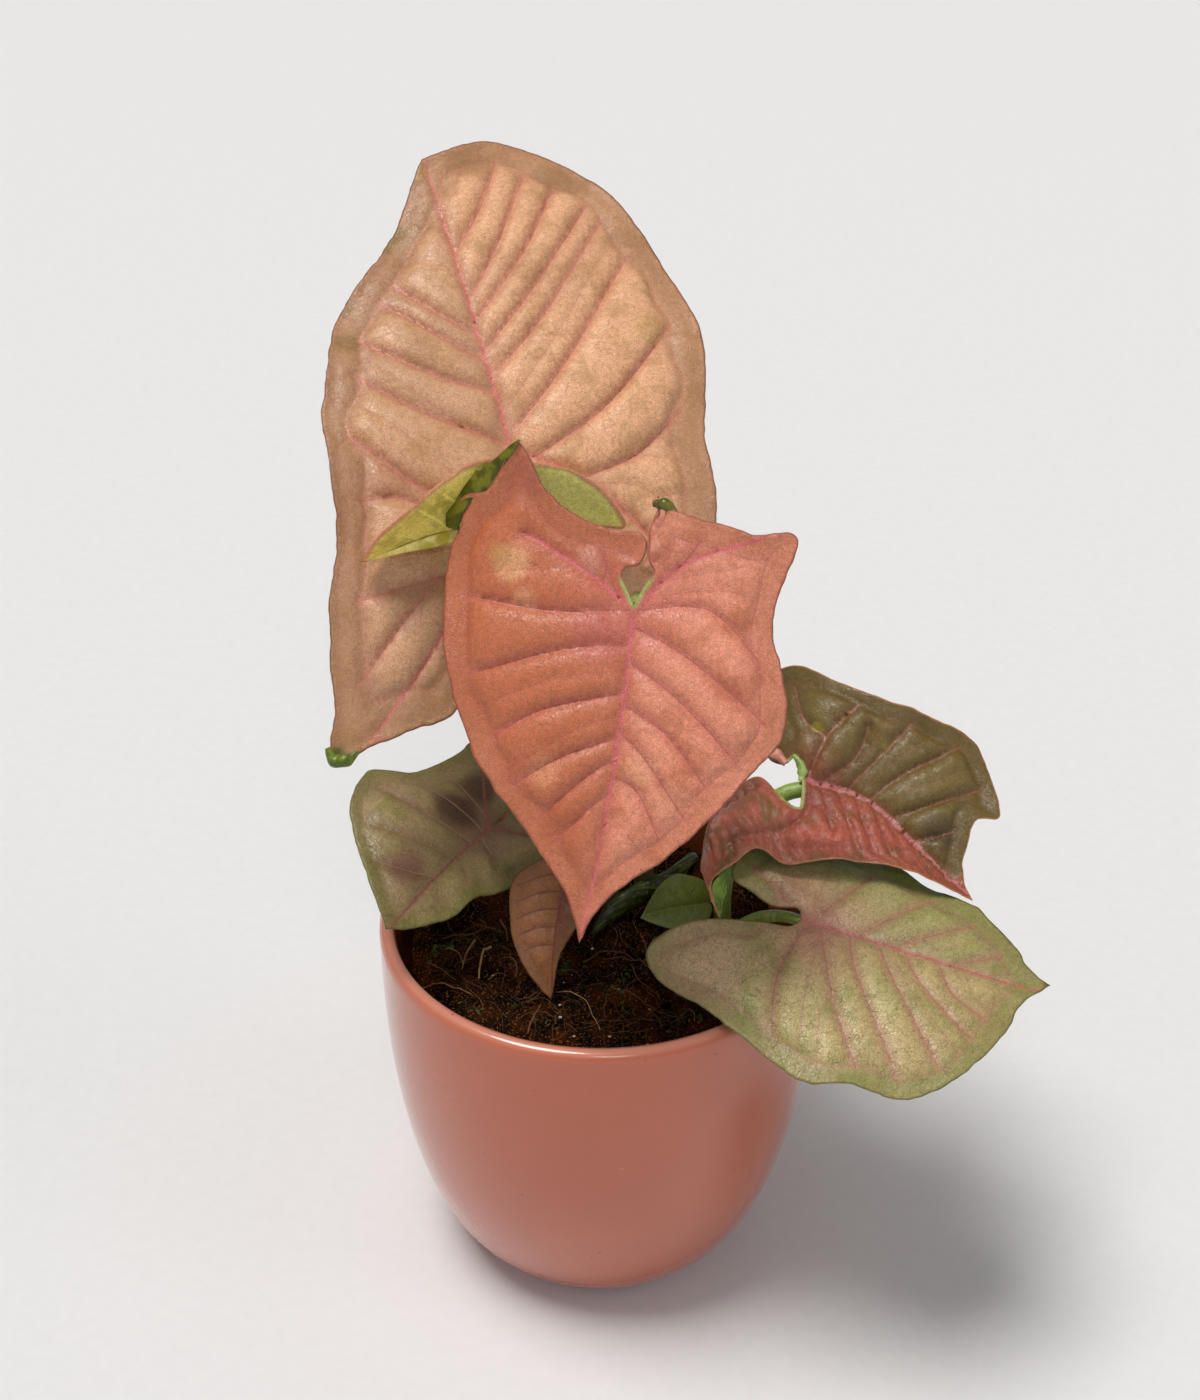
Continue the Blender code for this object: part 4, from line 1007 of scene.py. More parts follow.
def leafPaint(name, leaf):
    look = {**plainLook, **leaf["look"]}
    colour = {key: tint(*value) for key, value in look.items() if isinstance(value, tuple)}
    paint = Paint(name)
    near = {key: paint.value(key) for key in ("rib", "vein", "fine", "edge", "outer", "under", "beside")}
    flat = near["flat"] = paint.place("flat")
    drift = near["drift"] = paint.noise(flat, leafPattern["drift"])
    patches = paint.noise(flat, leafPattern["patches"], 3.0, 0.6).steps(0.45, 0.68)
    near["patches"] = patches * look["patchAmount"]
    near["stalkward"] = paint.vector("LENGTH", flat, output="Value") + (drift - 0.5) * 16.0
    near["net"] = netOf(paint, flat)
    body = bodyColour(paint, leaf, look, colour, near)
    top = veinedColour(paint, body, look, colour, near)
    whole = paint.blend(near["under"].steps(0.3, 0.7), top, underColour(paint, look, colour, near))
    whole = paint.blend(near["edge"].steps(0.06, 0.55, look["rimAmount"], 0.0), whole, colour["rim"])
    if look["collar"]:        # a green edge round the stalk
        ring = near["stalkward"].steps(look["collar"], look["collar"] + 3.0, 1.0, 0.0)
        ring = near["edge"].steps(0.5, 1.3, 1.0, 0.0) * ring
        whole = paint.blend(ring * 0.9, whole, leafTints["collar"])
    grain = paint.noise(flat, leafPattern["grain"], 3.0, 0.75)
    blotch = paint.noise(flat, leafPattern["blotch"], 2.0, 0.6)
    for pattern, dark, pale in ((grain, grey(0.70), grey(1.22)),
                                (blotch, (0.88, 0.88, 0.86, 1), (1.09, 1.09, 1.08, 1))):
        whole = paint.blend(1.0, whole, paint.blend(pattern.steps(0.30, 0.70), dark, pale), "MULTIPLY")
    specks = paint.cells(flat, leafPattern["specks"]).steps(0.020, 0.042, look["specks"], 0.0)
    whole = paint.blend(specks, whole, leafTints["speck"])
    height = grain * leafBump["grain"] - near["net"] * leafBump["net"] + blotch * leafBump["blotch"]
    glossy, dull = look["gloss"] - 0.07, look["gloss"] + 0.10
    rough = paint.noise(flat, leafPattern["gloss"]).steps(0.2, 0.8, glossy, dull)
    return paint.surface(Base_Color=whole, Roughness=rough, Specular_IOR_Level=leafBump["shine"],
                         Normal=paint.bump(height, leafBump["depth"], leafBump["strength"]))


for leafName, leafForm in leaves.items():
    makeBlade(leafName, leafForm)


# Curls and rolled edges of the blades. Each follows a route drawn on its flat blade, and its profile
# gives how far it reaches to the right of the route and how high it stands, both as shares of its width.

turnedDown = [(-0.12, -0.05), (0.2, -0.20), (0.4, -0.36), (0.65, -0.44), (0.85, -0.40), (1.0, -0.30)]
flapOver = [(-0.15, -0.04), (0.2, -0.06), (0.5, -0.14), (0.8, -0.22), (1.0, -0.24)]
lowRoll = [(-0.5, -0.16), (-0.4, 0.08), (-0.15, 0.20), (0.15, 0.18), (0.4, 0.04), (0.5, -0.12)]
keel = [(-0.5, -0.05), (-0.36, -0.20), (-0.15, -0.36), (0.15, -0.36), (0.36, -0.20), (0.5, -0.05)]
rolledOver = [(-0.5, -0.12), (-0.42, 0.24), (-0.2, 0.42), (0.1, 0.45), (0.4, 0.26), (0.5, -0.12)]
trims = {
    "leafFrontFlap": {
        "blade": "leafFront",
        "route": [(31.6, -40), (35.4, -34.5), (39.5, -28.5), (44, -26), (47.2, -22), (48.6, -16.5)],
        "width": (0.4, 2.4, 4.2, 6.0, 6.6, 3.6), "profile": flapOver, "lift": 0.5,
        "dark": tint(66, 68, 8), "light": tint(112, 110, 24), "gloss": 0.16,
    },
    "youngKeel": {
        "blade": "leafYoung", "route": [(0.2, 49), (0, 40), (0, 28), (0, 16), (0, 6)],
        "width": (0.8, 4.6, 6.6, 6.6, 4.0), "profile": keel, "lift": -0.1,
        "dark": tint(206, 188, 70), "light": tint(250, 232, 140), "gloss": 0.08,
    },
    "leafFrontRoll": {
        "blade": "leafFront", "route": [(-2.6, -9.8), (-4.4, -13), (-5.0, -17), (-5.2, -21), (-6, -25)],
        "width": (1.0, 4.6, 5.6, 5.2, 2.0), "profile": lowRoll, "lift": 0.5,
        "dark": tint(186, 108, 86), "light": tint(220, 148, 122), "gloss": 0.30,
    },
    "leafFrontCurl": {
        "blade": "leafFront", "route": [(-3.2, -26.0), (-6.2, -25.9), (-9.4, -23.9)],
        "width": (1.2, 3.0, 0.8), "profile": rolledOver, "lift": 0.5,
        "dark": tint(78, 76, 12), "light": tint(112, 108, 30), "gloss": 0.22,
    },
    "leafBackCurl": {
        "blade": "leafBack", "route": [(-66.6, -71.5), (-65.4, -75.0), (-62, -75.6), (-58.6, -73.6)],
        "width": (0.8, 3.2, 3.0, 0.8), "profile": rolledOver, "lift": 0.2,
        "dark": tint(70, 90, 14), "light": tint(122, 138, 40), "gloss": 0.24,
    },
    "upperSheath": {
        "blade": "leafRightUpper", "route": [(-4.9, -7.2), (-3.2, -4.4), (-1.2, -2.7), (1.5, -1.6)],
        "width": (0.6, 2.0, 2.6, 0.8), "profile": lowRoll, "lift": -0.1,
        "dark": tint(108, 134, 58), "light": tint(160, 178, 100), "gloss": 0.30,
    },
    "upperRoll": {
        "blade": "leafRightUpper", "route": [(-1.6, -8), (-3.6, -12.5), (-3.8, -18)],
        "width": (1.2, 3.6, 1.2), "profile": rolledOver, "lift": 0.4,
        "dark": tint(186, 112, 92), "light": tint(216, 154, 128), "gloss": 0.30,
    },
    "upperSpikeBack": {
        "blade": "leafRightUpper", "route": [(49.6, 4.2), (46, -0.5), (42.5, -3.6), (37, -1.6)],
        "width": (0.5, 3.4, 4.6, 1.4), "profile": turnedDown, "lift": -0.25,
        "dark": tint(72, 98, 20), "light": tint(122, 148, 48), "gloss": 0.28,
    },
}
trimSteps = {"along": 0.3, "profile": 0.09, "thickness": 0.22, "uneven": 0.08}
trimPattern = {"mottle": 260.0, "cells": 900.0, "gloss": 400.0, "depth": 0.0002, "strength": 0.5}


def trimPaint(name, spec):
    paint = Paint(name)
    where = paint.place()
    mottle = paint.noise(where, trimPattern["mottle"]).steps(0.38, 0.62)
    colour = paint.blend(mottle, spec["dark"], spec["light"])
    net = paint.cells(where, trimPattern["cells"], "DISTANCE_TO_EDGE")
    colour = paint.blend(net.steps(0.0, 0.10, 0.30, 0.0), colour, spec["dark"])
    rough = paint.noise(where, trimPattern["gloss"]).steps(0.3, 0.7, spec["gloss"], spec["gloss"] + 0.12)
    bump = paint.bump(net, trimPattern["depth"], trimPattern["strength"])
    return paint.surface(Base_Color=colour, Roughness=rough, Normal=bump)


def makeTrim(name, spec):
    leaf = leaves[spec["blade"]]
    line = np.array(curveThrough(spec["route"], trimSteps["along"]))
    ways = np.gradient(line, axis=0)
    ways /= np.linalg.norm(ways, axis=1)[:, None]
    outward = np.stack([ways[:, 1], -ways[:, 0]], -1)
    places = np.linspace(0, 1, len(line))
    width = np.interp(places, np.linspace(0, 1, len(spec["width"])), spec["width"])
    width = width * (1 + trimSteps["uneven"] * np.sin(places * 21))
    profile = curveThrough(spec["profile"], trimSteps["profile"]) + [np.array(spec["profile"][-1])]
    flat = np.concatenate([line + outward * (width * reach)[:, None] for reach, rise in profile])
    lift = np.concatenate([width * rise + spec["lift"] for reach, rise in profile])
    middle = placed(flat, lift, leaf)
    count, triangles = len(line), []
    for row in range(len(profile) - 1):
        for k in range(count - 1):
            a, b = row * count + k, (row + 1) * count + k
            triangles += [(a, b, b + 1), (a, b + 1, a + 1)]
    thin = np.full(len(middle), trimSteps["thickness"])
    mesh = leafShell(name, middle, triangles, thin, thin)
    mesh.materials.append(trimPaint(name, spec))
    finished(addObject(name, mesh), leaf["slot"])


for trimName, trimForm in trims.items():
    makeTrim(trimName, trimForm)


# The soil: one lumpy plug, with crumbs, roots, moss and pale grains scattered over it

soil = {
    "top": 0.1055, "radius": 0.0550, "taper": 0.10, "floor": 0.0073, "gap": 0.0006, "rings": 96, "sides": 300,
    "levels": (0.085, 0.065, 0.045, 0.03, 0.018, 0.011),        # of its side, between the top and the floor
    "lumps": ((0.0110, 0.0014), (0.0048, 0.0013), (0.0019, 0.0007)),        # size and height
    "hollowSize": 0.014, "hollowDepth": 0.0085,
    "edge": 0.046, "edgeWidth": 0.009, "edgeDrop": 0.0035,        # it sinks beside the wall of the pot
    "seed": 11,
}
cover = {
    "crumbDensity": 3.6e5, "crumb": 0.00042, "mossDensity": 5.2e5, "moss": 0.0011,
    "grains": 26, "grain": 0.00042, "grainSpread": 36,
    "roots": 420, "rootLength": (4, 18), "rootRadius": (0.05, 0.16), "rootSides": 5,
}
peat = {
    "dark": tint(6, 2, 0), "brown": tint(48, 22, 5), "red": tint(92, 38, 8), "tan": tint(204, 124, 56),
    "clods": 130.0, "redPlaces": 62.0, "redAmount": 0.40, "grit": 1500.0, "gritAmount": 0.5,
    "bumps": 420.0, "depth": 0.0005, "strength": 0.9, "roughness": (0.8, 0.97), "shine": 0.06,
}
mossLook = {"green": tint(78, 84, 18), "dark": tint(42, 46, 8), "mottle": 600.0, "grain": 900.0}
rootLook = {"black": tint(34, 14, 3), "brown": tint(118, 62, 24), "tan": tint(196, 158, 108),
            "dirt": tint(44, 26, 16), "grain": 1300.0, "depth": 0.0002, "strength": 0.6}
grainLook = {"pale": tint(214, 206, 190), "dull": tint(160, 142, 120), "grain": 2600.0}
largeRoots = [        # radius at the start, shade from brown to tan, and points: x, y, height over the soil
    (0.42, 0.95, [(-31.5, -8.3, 1.2), (-33.9, -12.0, 2.4), (-34.5, -17.1, 1.8), (-34.2, -22.1, 0.3)]),
    (0.17, 0.85, [(-12.4, -27.0, 0.3), (-5.6, -30.6, 2.6), (-2.2, -37.5, 2.4), (0.5, -44.4, 0.2)]),
    (0.36, 0.45, [(-19.7, -45.2, 0.5), (-17.9, -40.1, 2.2), (-15.8, -36.2, 3.2)]),
    (0.34, 0.75, [(-36.2, -5.9, 2.2), (-38.5, -10.6, 1.4), (-39.8, -16.3, 0.4)]),
    (0.22, 0.70, [(-50.6, -20.2, 0.6), (-42.3, -23.9, 1.2), (-34.5, -28.9, 0.4)]),
    (0.20, 0.65, [(-49.5, -14.3, 1.4), (-45.5, -18.0, 1.0), (-40.0, -20.8, 0.2)]),
    (0.40, 0.60, [(-29.4, 5.6, 2.5), (-27.5, 0.8, 2.0), (-26.8, -4.6, 0.4)]),
    (0.26, 0.45, [(-4.9, -11.0, 0.6), (2.9, -9.7, 1.6), (11.2, -13.0, 0.4)]),
    (0.30, 0.40, [(11.5, -12.0, 0.6), (15.6, -21.2, 2.0), (23.5, -27.7, 0.3)]),
    (0.20, 0.55, [(3.6, -24.7, 0.3), (13.9, -32.3, 1.6), (27.0, -35.5, 0.4)]),
    (0.18, 0.50, [(9.0, -14.6, 0.4), (11.3, -23.5, 1.6), (17.8, -31.1, 0.3)]),
    (0.16, 0.60, [(-46.0, -2.0, 0.4), (-38.0, -1.5, 1.8), (-30.0, -14.0, 0.3)]),
]


seenGrains = [(13.9, -32.3), (-11.0, -38.8), (-7.1, -47.4), (13.0, -48.2), (2.7, -46.1)]        # mm


def fromCad(x, y):        # the waves that the top of the solid has
    wide = math.sin(x * 95 + 0.6) * math.cos(y * 80 - 0.3)
    small = math.sin(x * 210 - y * 130 + 1.7) + math.cos(y * 240 + x * 90)
    return 0.0012 * (wide + 0.45 * small)


def soilHeight(x, y):
    rise = fromCad(x, y)
    for size, height in soil["lumps"]:
        rise += height * noise.noise(Vector((x / size, y / size, 4.7)))
    hollow = noise.noise(Vector((x / soil["hollowSize"], y / soil["hollowSize"], 9.1)))
    rise -= soil["hollowDepth"] * max(0.0, hollow - 0.08)
    edge = max(0.0, math.hypot(x, y) - soil["edge"]) / soil["edgeWidth"]
    return soil["top"] + rise - soil["edgeDrop"] * edge ** 2


def soilPaint(name, lighter=1.0):
    paint = Paint(name)
    where = paint.place()
    clods = paint.noise(where, peat["clods"], 3.0, 0.6).steps(0.42, 0.66)
    colour = paint.blend(clods, peat["dark"], peat["brown"])
    reddish = paint.noise(where, peat["redPlaces"]).steps(0.56, 0.70, 0.0, peat["redAmount"])
    colour = paint.blend(reddish, colour, peat["red"])
    grit = paint.noise(where, peat["grit"], 2.0, 0.7)
    colour = paint.blend(grit.steps(0.55, 0.74, 0.0, peat["gritAmount"] * lighter), colour, peat["tan"])
    bump = paint.bump(grit + paint.noise(where, peat["bumps"], 3.0), peat["depth"], peat["strength"])
    return paint.surface(Base_Color=colour, Specular_IOR_Level=peat["shine"], Normal=bump,
                         Roughness=paint.noise(where, 300.0).steps(0.3, 0.7, *peat["roughness"]))


def ringPoints(radius, sides):
    turns = [math.tau * k / sides for k in range(sides)]
    return [(radius * math.cos(turn), radius * math.sin(turn)) for turn in turns]


def bandFaces(inner, outer, sides):        # between two rings of points, each given by its first
    return [(inner + k, outer + k, outer + (k + 1) % sides, inner + (k + 1) % sides) for k in range(sides)]


def soilTop():
    points, faces = [(0, 0, soilHeight(0, 0))], []
    rings, sides = soil["rings"], soil["sides"]
    for ring in range(1, rings + 1):
        around = ringPoints(soil["radius"] * ring / rings, sides)
        points += [(x, y, soilHeight(x, y)) for x, y in around]
    for k in range(sides):        # in this order, because the crumbs fall by the order of the faces
        after = (k + 1) % sides
        faces.append((0, 1 + k, 1 + after))
        for ring in range(rings - 1):
            a = 1 + ring * sides
            faces.append((a + k, a + sides + k, a + sides + after, a + after))
    return points, faces


def makeSoil():
    points, faces = soilTop()
    top = meshFrom("soilTop", points, faces)
    sides = soil["sides"]
    levels = [soil["top"] - 0.009, *soil["levels"], soil["floor"]]
    for z in levels:
        radius = min(soil["radius"] - soil["taper"] * (soil["top"] - z),
                     potRadius(z - 0.0003) - pot["wall"] - soil["gap"])
        if z == levels[-1]:
            radius = potRadius(pot["floor"]) - pot["wall"] - pot["corner"] - soil["gap"]
        faces += bandFaces(len(points) - sides, len(points), sides)
        points += [(x, y, z) for x, y in ringPoints(radius, sides)]
    faces.append(tuple(range(len(points) - sides, len(points)))[::-1])
    body = addObject("soilPeat", meshFrom("soilPeat", points, faces))
    body.data.materials.append(soilPaint("darkPeat"))
    finished(body, "soil", "soil")
    return top


def crumbShape(tree):        # a small uneven lump
    bit = tree.node("GeometryNodeMeshIcoSphere", {}, {"Radius": 1.0, "Subdivisions": 1})
    rough = tree.vector("SUBTRACT", tree.noise(tree.where(), 1.4, output="Color"), (0.5, 0.5, 0.5))
    moved = tree.vector("MULTIPLY", rough, (1.5, 1.5, 1.5))
    return tree.node("GeometryNodeSetPosition", {}, {"Geometry": bit, "Offset": moved})


def leafletShape(tree):        # a small bent leaflet
    bit = gridSheet(tree, 0.7, 1.6, 3, 4)
    x, y, _ = tree.parts(tree.where())
    curl = tree.joined(x * (1.0 - y * y), y, y * y * 0.55 - x * x * 1.4)
    bit = tree.node("GeometryNodeSetPosition", {}, {"Geometry": bit, "Position": curl})
    return tree.node("GeometryNodeExtrudeMesh", {}, {"Mesh": bit, "Offset Scale": 0.10, "Individual": False})


def scatterTree(name, shape, clumpScale, clumpLimits):        # many of one shape over the top of the soil
    tree = Growth(name, {"Density": 1.0, "Size": 0.001, "Seed": 1})
    seed = tree.given("Seed")
    spread = {"Mesh": tree.given("Geometry"), "Density": tree.given("Density"), "Seed": seed}
    points = tree.node("GeometryNodeDistributePointsOnFaces", {}, spread)
    clumps = tree.noise(tree.where(), clumpScale).steps(*clumpLimits)
    keep = tree.node("FunctionNodeCompare", {"operation": "GREATER_THAN"}, {"A": clumps, "B": 0.5})
    spin = tree.random("FLOAT_VECTOR", (-3.1, -3.1, -3.1), (3.1, 3.1, 3.1), seed)
    stretch = tree.random("FLOAT_VECTOR", (0.5, 0.4, 0.35), (1.7, 1.2, 0.9), seed + 3)
    size = tree.random("FLOAT", 0.5, 1.6, seed + 5) * tree.given("Size")
    scale = tree.node("ShaderNodeVectorMath", {"operation": "SCALE"}, {0: stretch, "Scale": size})
    spots = {"Points": points, "Selection": keep, "Instance": shape(tree), "Rotation": spin, "Scale": scale}
    tree.close(tree.node("GeometryNodeInstanceOnPoints", {}, spots))
    return tree


def mossPaint():
    paint = Paint("mossGreen")
    where = paint.place()
    mottle = paint.noise(where, mossLook["mottle"]).steps(0.35, 0.65)
    colour = paint.blend(mottle, mossLook["green"], mossLook["dark"])
    rough = paint.noise(where, mossLook["grain"]).steps(0.3, 0.7, 0.6, 0.8)
    return paint.surface(Base_Color=colour, Roughness=rough)


def rootPaint():
    paint = Paint("rootBrown")
    shade = paint.value("shade")
    dark = paint.blend(shade.steps(0.0, 0.55), rootLook["black"], rootLook["brown"])
    colour = paint.blend(shade.steps(0.5, 1.0), dark, rootLook["tan"])
    grain = paint.noise(paint.place(), rootLook["grain"], 3.0)
    colour = paint.blend(grain.steps(0.4, 0.8, 0.0, 0.5), colour, rootLook["dirt"])
    bump = paint.bump(grain, rootLook["depth"], rootLook["strength"])
    return paint.surface(Base_Color=colour, Roughness=grain.steps(0.2, 0.8, 0.55, 0.75), Normal=bump)


def grainPaint():
    paint = Paint("paleGrain")
    grain = paint.noise(paint.place(), grainLook["grain"])
    colour = paint.blend(grain.steps(0.35, 0.65), grainLook["pale"], grainLook["dull"])
    return paint.surface(Base_Color=colour, Roughness=grain.steps(0.3, 0.7, 0.6, 0.8))


def tubeTree():        # makes a tube of a path that has its own thickness at each point
    tree = Growth("tubing", {"Sides": 8, "Groove": 0.0})
    path = tree.node("GeometryNodeMeshToCurve", {}, {"Mesh": tree.given("Geometry")})
    circle = {"Resolution": tree.given("Sides"), "Radius": 1.0}
    ring = tree.node("GeometryNodeCurvePrimitiveCircle", {}, circle)
    x, y, _ = tree.parts(tree.where())
    dented = tree.joined(x * (1 - tree.given("Groove") * x.steps(0.80, 1.0)), y, 0.0)
    ring = tree.node("GeometryNodeSetPosition", {}, {"Geometry": ring, "Position": dented})
    thick = tree.node("GeometryNodeInputNamedAttribute", {}, {"Name": "thick"})
    form = {"Curve": path, "Profile Curve": ring, "Scale": thick, "Fill Caps": True}
    tube = tree.node("GeometryNodeCurveToMesh", {}, form)
    tree.close(tree.node("GeometryNodeSetShadeSmooth", {}, {"Geometry": tube}))
    return tree


def pathMesh(name, paths):        # paths of (points in metres, radii in metres, shade)
    points, edges, thick, shades = [], [], [], []
    for line, radii, shade in paths:
        edges += [(len(points) + k, len(points) + k + 1) for k in range(len(line) - 1)]
        points += [tuple(p) for p in line]
        thick += list(radii)
        shades += [shade] * len(line)
    mesh = bpy.data.meshes.new(name)
    mesh.from_pydata(points, edges, [])
    attribute(mesh, "thick", thick)
    attribute(mesh, "shade", shades)
    return mesh


def thinRoot(chance):        # its points, or nothing where it would leave the soil
    radius, turn = 0.0525 * math.sqrt(chance.random()), math.tau * chance.random()
    place = np.array([radius * math.cos(turn), radius * math.sin(turn)])
    heading, bend = math.tau * chance.random(), chance.normal(0, 0.16)
    length = chance.uniform(*cover["rootLength"]) * mm
    arch, low = chance.uniform(0.0002, 0.0022), chance.uniform(-0.0006, 0.0003)
    line, steps = [], 10
    for t in np.linspace(0, 1, steps + 1):
        ground = soilHeight(*place) * 0.6 + (soil["top"] + fromCad(*place)) * 0.4
        line.append((*place, ground + low + arch * math.sin(math.pi * t)))
        place = place + length / steps * np.array([math.cos(heading), math.sin(heading)])
        heading += bend + chance.normal(0, 0.22)
    return line if max(math.hypot(x, y) for x, y, z in line) <= 0.0535 else None


def rootPaths():
    chance = np.random.default_rng(soil["seed"])
    paths = []
    while len(paths) < cover["roots"]:
        line = thinRoot(chance)
        if line:
            thick = chance.uniform(*cover["rootRadius"]) * mm
            paths.append((line, thick * np.linspace(1.0, 0.45, len(line)), chance.beta(1.4, 3.2)))
    for thick, shade, route in largeRoots:
        line = [(x * mm, y * mm, soilHeight(x * mm, y * mm) + z * mm) for x, y, z in curveThrough(route, 1.2)]
        paths.append((line, thick * mm * np.linspace(1.0, 0.5, len(line)), shade))
    return paths


def grainTree():
    tree = Growth("paleGrains", {"Size": 0.0004, "Seed": 2})
    points = tree.node("GeometryNodeMeshToPoints", {}, {"Mesh": tree.given("Geometry")})
    bit = tree.node("GeometryNodeMeshIcoSphere", {}, {"Radius": 1.0, "Subdivisions": 2})
    size = tree.random("FLOAT", 0.5, 1.3, tree.given("Seed")) * tree.given("Size")
    spots = {"Points": points, "Instance": bit, "Scale": tree.joined(size, size * 0.8, size * 0.7)}
    tree.close(tree.node("GeometryNodeInstanceOnPoints", {}, spots))
    return tree


def grainSpots():
    chance = np.random.default_rng(soil["seed"] + 4)
    spots = list(seenGrains)
    spots += [tuple(chance.uniform(-cover["grainSpread"], cover["grainSpread"], 2))
              for k in range(cover["grains"] - len(spots))]
    return [(x * mm, y * mm, soilHeight(x * mm, y * mm) + 0.0004) for x, y in spots]


def makeSoilCover():
    top, seed = makeSoil(), soil["seed"]
    tree = scatterTree("crumbs", crumbShape, 70.0, (0.36, 0.42))
    made = tree.grow("soilCrumbs", top, soilPaint("crumbPeat", 1.6), Density=cover["crumbDensity"],
                     Size=cover["crumb"], Seed=seed)
    finished(made, "soil")
    tree = scatterTree("mossBits", leafletShape, 95.0, (0.60, 0.61))
    made = tree.grow("soilMoss", top.copy(), mossPaint(), Density=cover["mossDensity"],
                     Size=cover["moss"], Seed=seed + 1)
    finished(made, "soil")
    paths = pathMesh("rootPaths", rootPaths())
    finished(tubeTree().grow("soilRoots", paths, rootPaint(), Sides=cover["rootSides"], Groove=0.0), "soil")
    spots = meshFrom("grainSpots", grainSpots(), [])
    finished(grainTree().grow("soilGrains", spots, grainPaint(), Size=cover["grain"], Seed=5), "soil")


makeSoilCover()


# The stalks, each along one bend from its hole to the underside of its blade, and the rolled leaf

stalks = {        # node, blade, foot, lean, reach of both ends, arrival, radius at foot and blade, shade
    "stalkBack": ("stalk_back", "leafBack", (3, 24), (140, 3), (50, 34), (0, 40), (2.9, 1.8), 0.5),
    "stalkFront": ("stalk_front", "leafFront", (13, 21), (265, 10), (60, 22), (0, 40), (2.8, 1.7), 0.6),
    "stalkYoung": ("stalk_young", "leafYoung", (3, 14), (150, 4), (60, 16), (0, 40), (2.4, 1.2), 0.4),
    "stalkRightUpper": ("stalk_right_upper", "leafRightUpper", (36, 4.5), (114, 8), (22, 13), (-35, 10),
                        (2.3, 2.4), 0.1),
    "stalkRightLower": ("stalk_right_lower", "leafRightLower", (38, -8), (-20, 6), (10, 12), (38, 20),
                        (2.1, 1.5), 0.2),
    "stalkLeft": ("stalk_left", "leafLeft", (-8, 22), (150, 8), (16, 12), (0, 40), (2.0, 1.3), 0.5),
    "stalkSmall": ("stalk_small", "leafSmall", (-3, 12), (180, 6), (14, 7), (0, 40), (1.6, 1.0), 0.7),
    "stalkBright": ("stalk_bright", "shootBright", (31, 11), (250, 5), (2, 2.5), (0, 40), (1.2, 0.8), 0.0),
}
stalkShape = {"gap": 0.0003, "blade": 0.0008, "holeDepth": 0.022, "above": 0.003, "steps": 46,
              "sides": 26, "groove": 0.16, "sheath": 0.16, "sheathLength": 0.12, "uneven": 0.06}
stalkLook = {
    "green": (tint(122, 154, 62), tint(158, 178, 92)), "warm": (tint(150, 132, 78), tint(176, 146, 104)),
    "fleck": tint(104, 88, 50), "base": tint(112, 84, 50), "baseHeight": (0.104, 0.122),
    "streaks": 70.0, "drawnOut": 9.0, "flecks": 900.0, "depth": 0.00035, "strength": 0.5,
}
rolledShoot = {
    "node": "shoot_dark", "foot": (27, 28), "lean": (20, 4),
    "points": [(28, 23.5, 116), (25, 17.5, 117.5), (20, 12.6, 115.7), (13, 9.5, 114),
               (7, 5.5, 112.8), (2, 0, 111.2), (-2.2, -5.5, 109.4)],
    "radii": (1.5, 1.6, 1.9, 2.8, 3.3, 3.1, 2.2, 0.5), "sides": 56, "step": 0.45, "turns": 1.1, "seam": 0.20,
    "ridges": 9,
}
rolledLook = {
    "dark": tint(32, 40, 2), "green": tint(60, 66, 8), "seam": tint(90, 98, 24), "dot": tint(98, 112, 40),
    "mottle": 190.0, "dots": 620.0, "grain": 900.0, "depth": 0.00025, "strength": 0.6, "shine": 0.3,
}


def direction(heading, lean):
    h, tilt = math.radians(heading), math.radians(lean)
    return np.array([math.cos(h) * math.sin(tilt), math.sin(h) * math.sin(tilt), math.cos(tilt)])


def footPoints(foot, lean):
    way = direction(*lean)
    leavesSoil = np.array([foot[0] * mm, foot[1] * mm, soil["top"] + stalkShape["above"]])
    return leavesSoil - way * stalkShape["holeDepth"] / way[2], leavesSoil, way


def stalkPaint():
    paint = Paint("stalkSkin")
    where = paint.place()
    x, y, z = paint.parts(where)
    drawn = paint.joined(x * stalkLook["drawnOut"], y * stalkLook["drawnOut"], z)        # along the stalk
    streaks = paint.noise(drawn, stalkLook["streaks"], 3.0, 0.6)
    green, warm = [paint.blend(streaks.steps(0.35, 0.65), *stalkLook[key]) for key in ("green", "warm")]
    colour = paint.blend(paint.value("shade") * 0.8, green, warm)
    flecks = paint.noise(where, stalkLook["flecks"]).steps(0.62, 0.72, 0.0, 0.35)
    colour = paint.blend(flecks, colour, stalkLook["fleck"])
    colour = paint.blend(z.steps(*stalkLook["baseHeight"], 0.6, 0.0), colour, stalkLook["base"])
    bump = paint.bump(streaks, stalkLook["depth"], stalkLook["strength"])
    return paint.surface(Base_Color=colour, Roughness=streaks.steps(0.3, 0.7, 0.34, 0.48), Normal=bump)


def stalkLine(leaf, foot, lean, reach, arrival, topRadius):        # first in its hole, then bent to the blade
    right, ahead, up = bladeAxes(leaf)
    bottom, leavesSoil, way = footPoints(foot, lean)
    first, last = (value * mm for value in reach)
    swing, climb = (math.radians(value) for value in arrival)
    below = stalkShape["blade"] / 2 + 3 * stalkShape["gap"] + topRadius * math.cos(climb)
    end = np.array(leaf["at"]) * mm - up * below
    lastWay = (ahead * math.cos(swing) + right * math.sin(swing)) * math.cos(climb) + up * math.sin(climb)
    a, b, c, d = leavesSoil, leavesSoil + way * first, end - lastWay * last, end
    bend = [a * (1 - t) ** 3 + 3 * b * t * (1 - t) ** 2 + 3 * c * t ** 2 * (1 - t) + d * t ** 3
            for t in np.linspace(0, 1, stalkShape["steps"])]
    return [bottom + (leavesSoil - bottom) * t for t in (0.0, 0.25, 0.5, 0.75)], bend


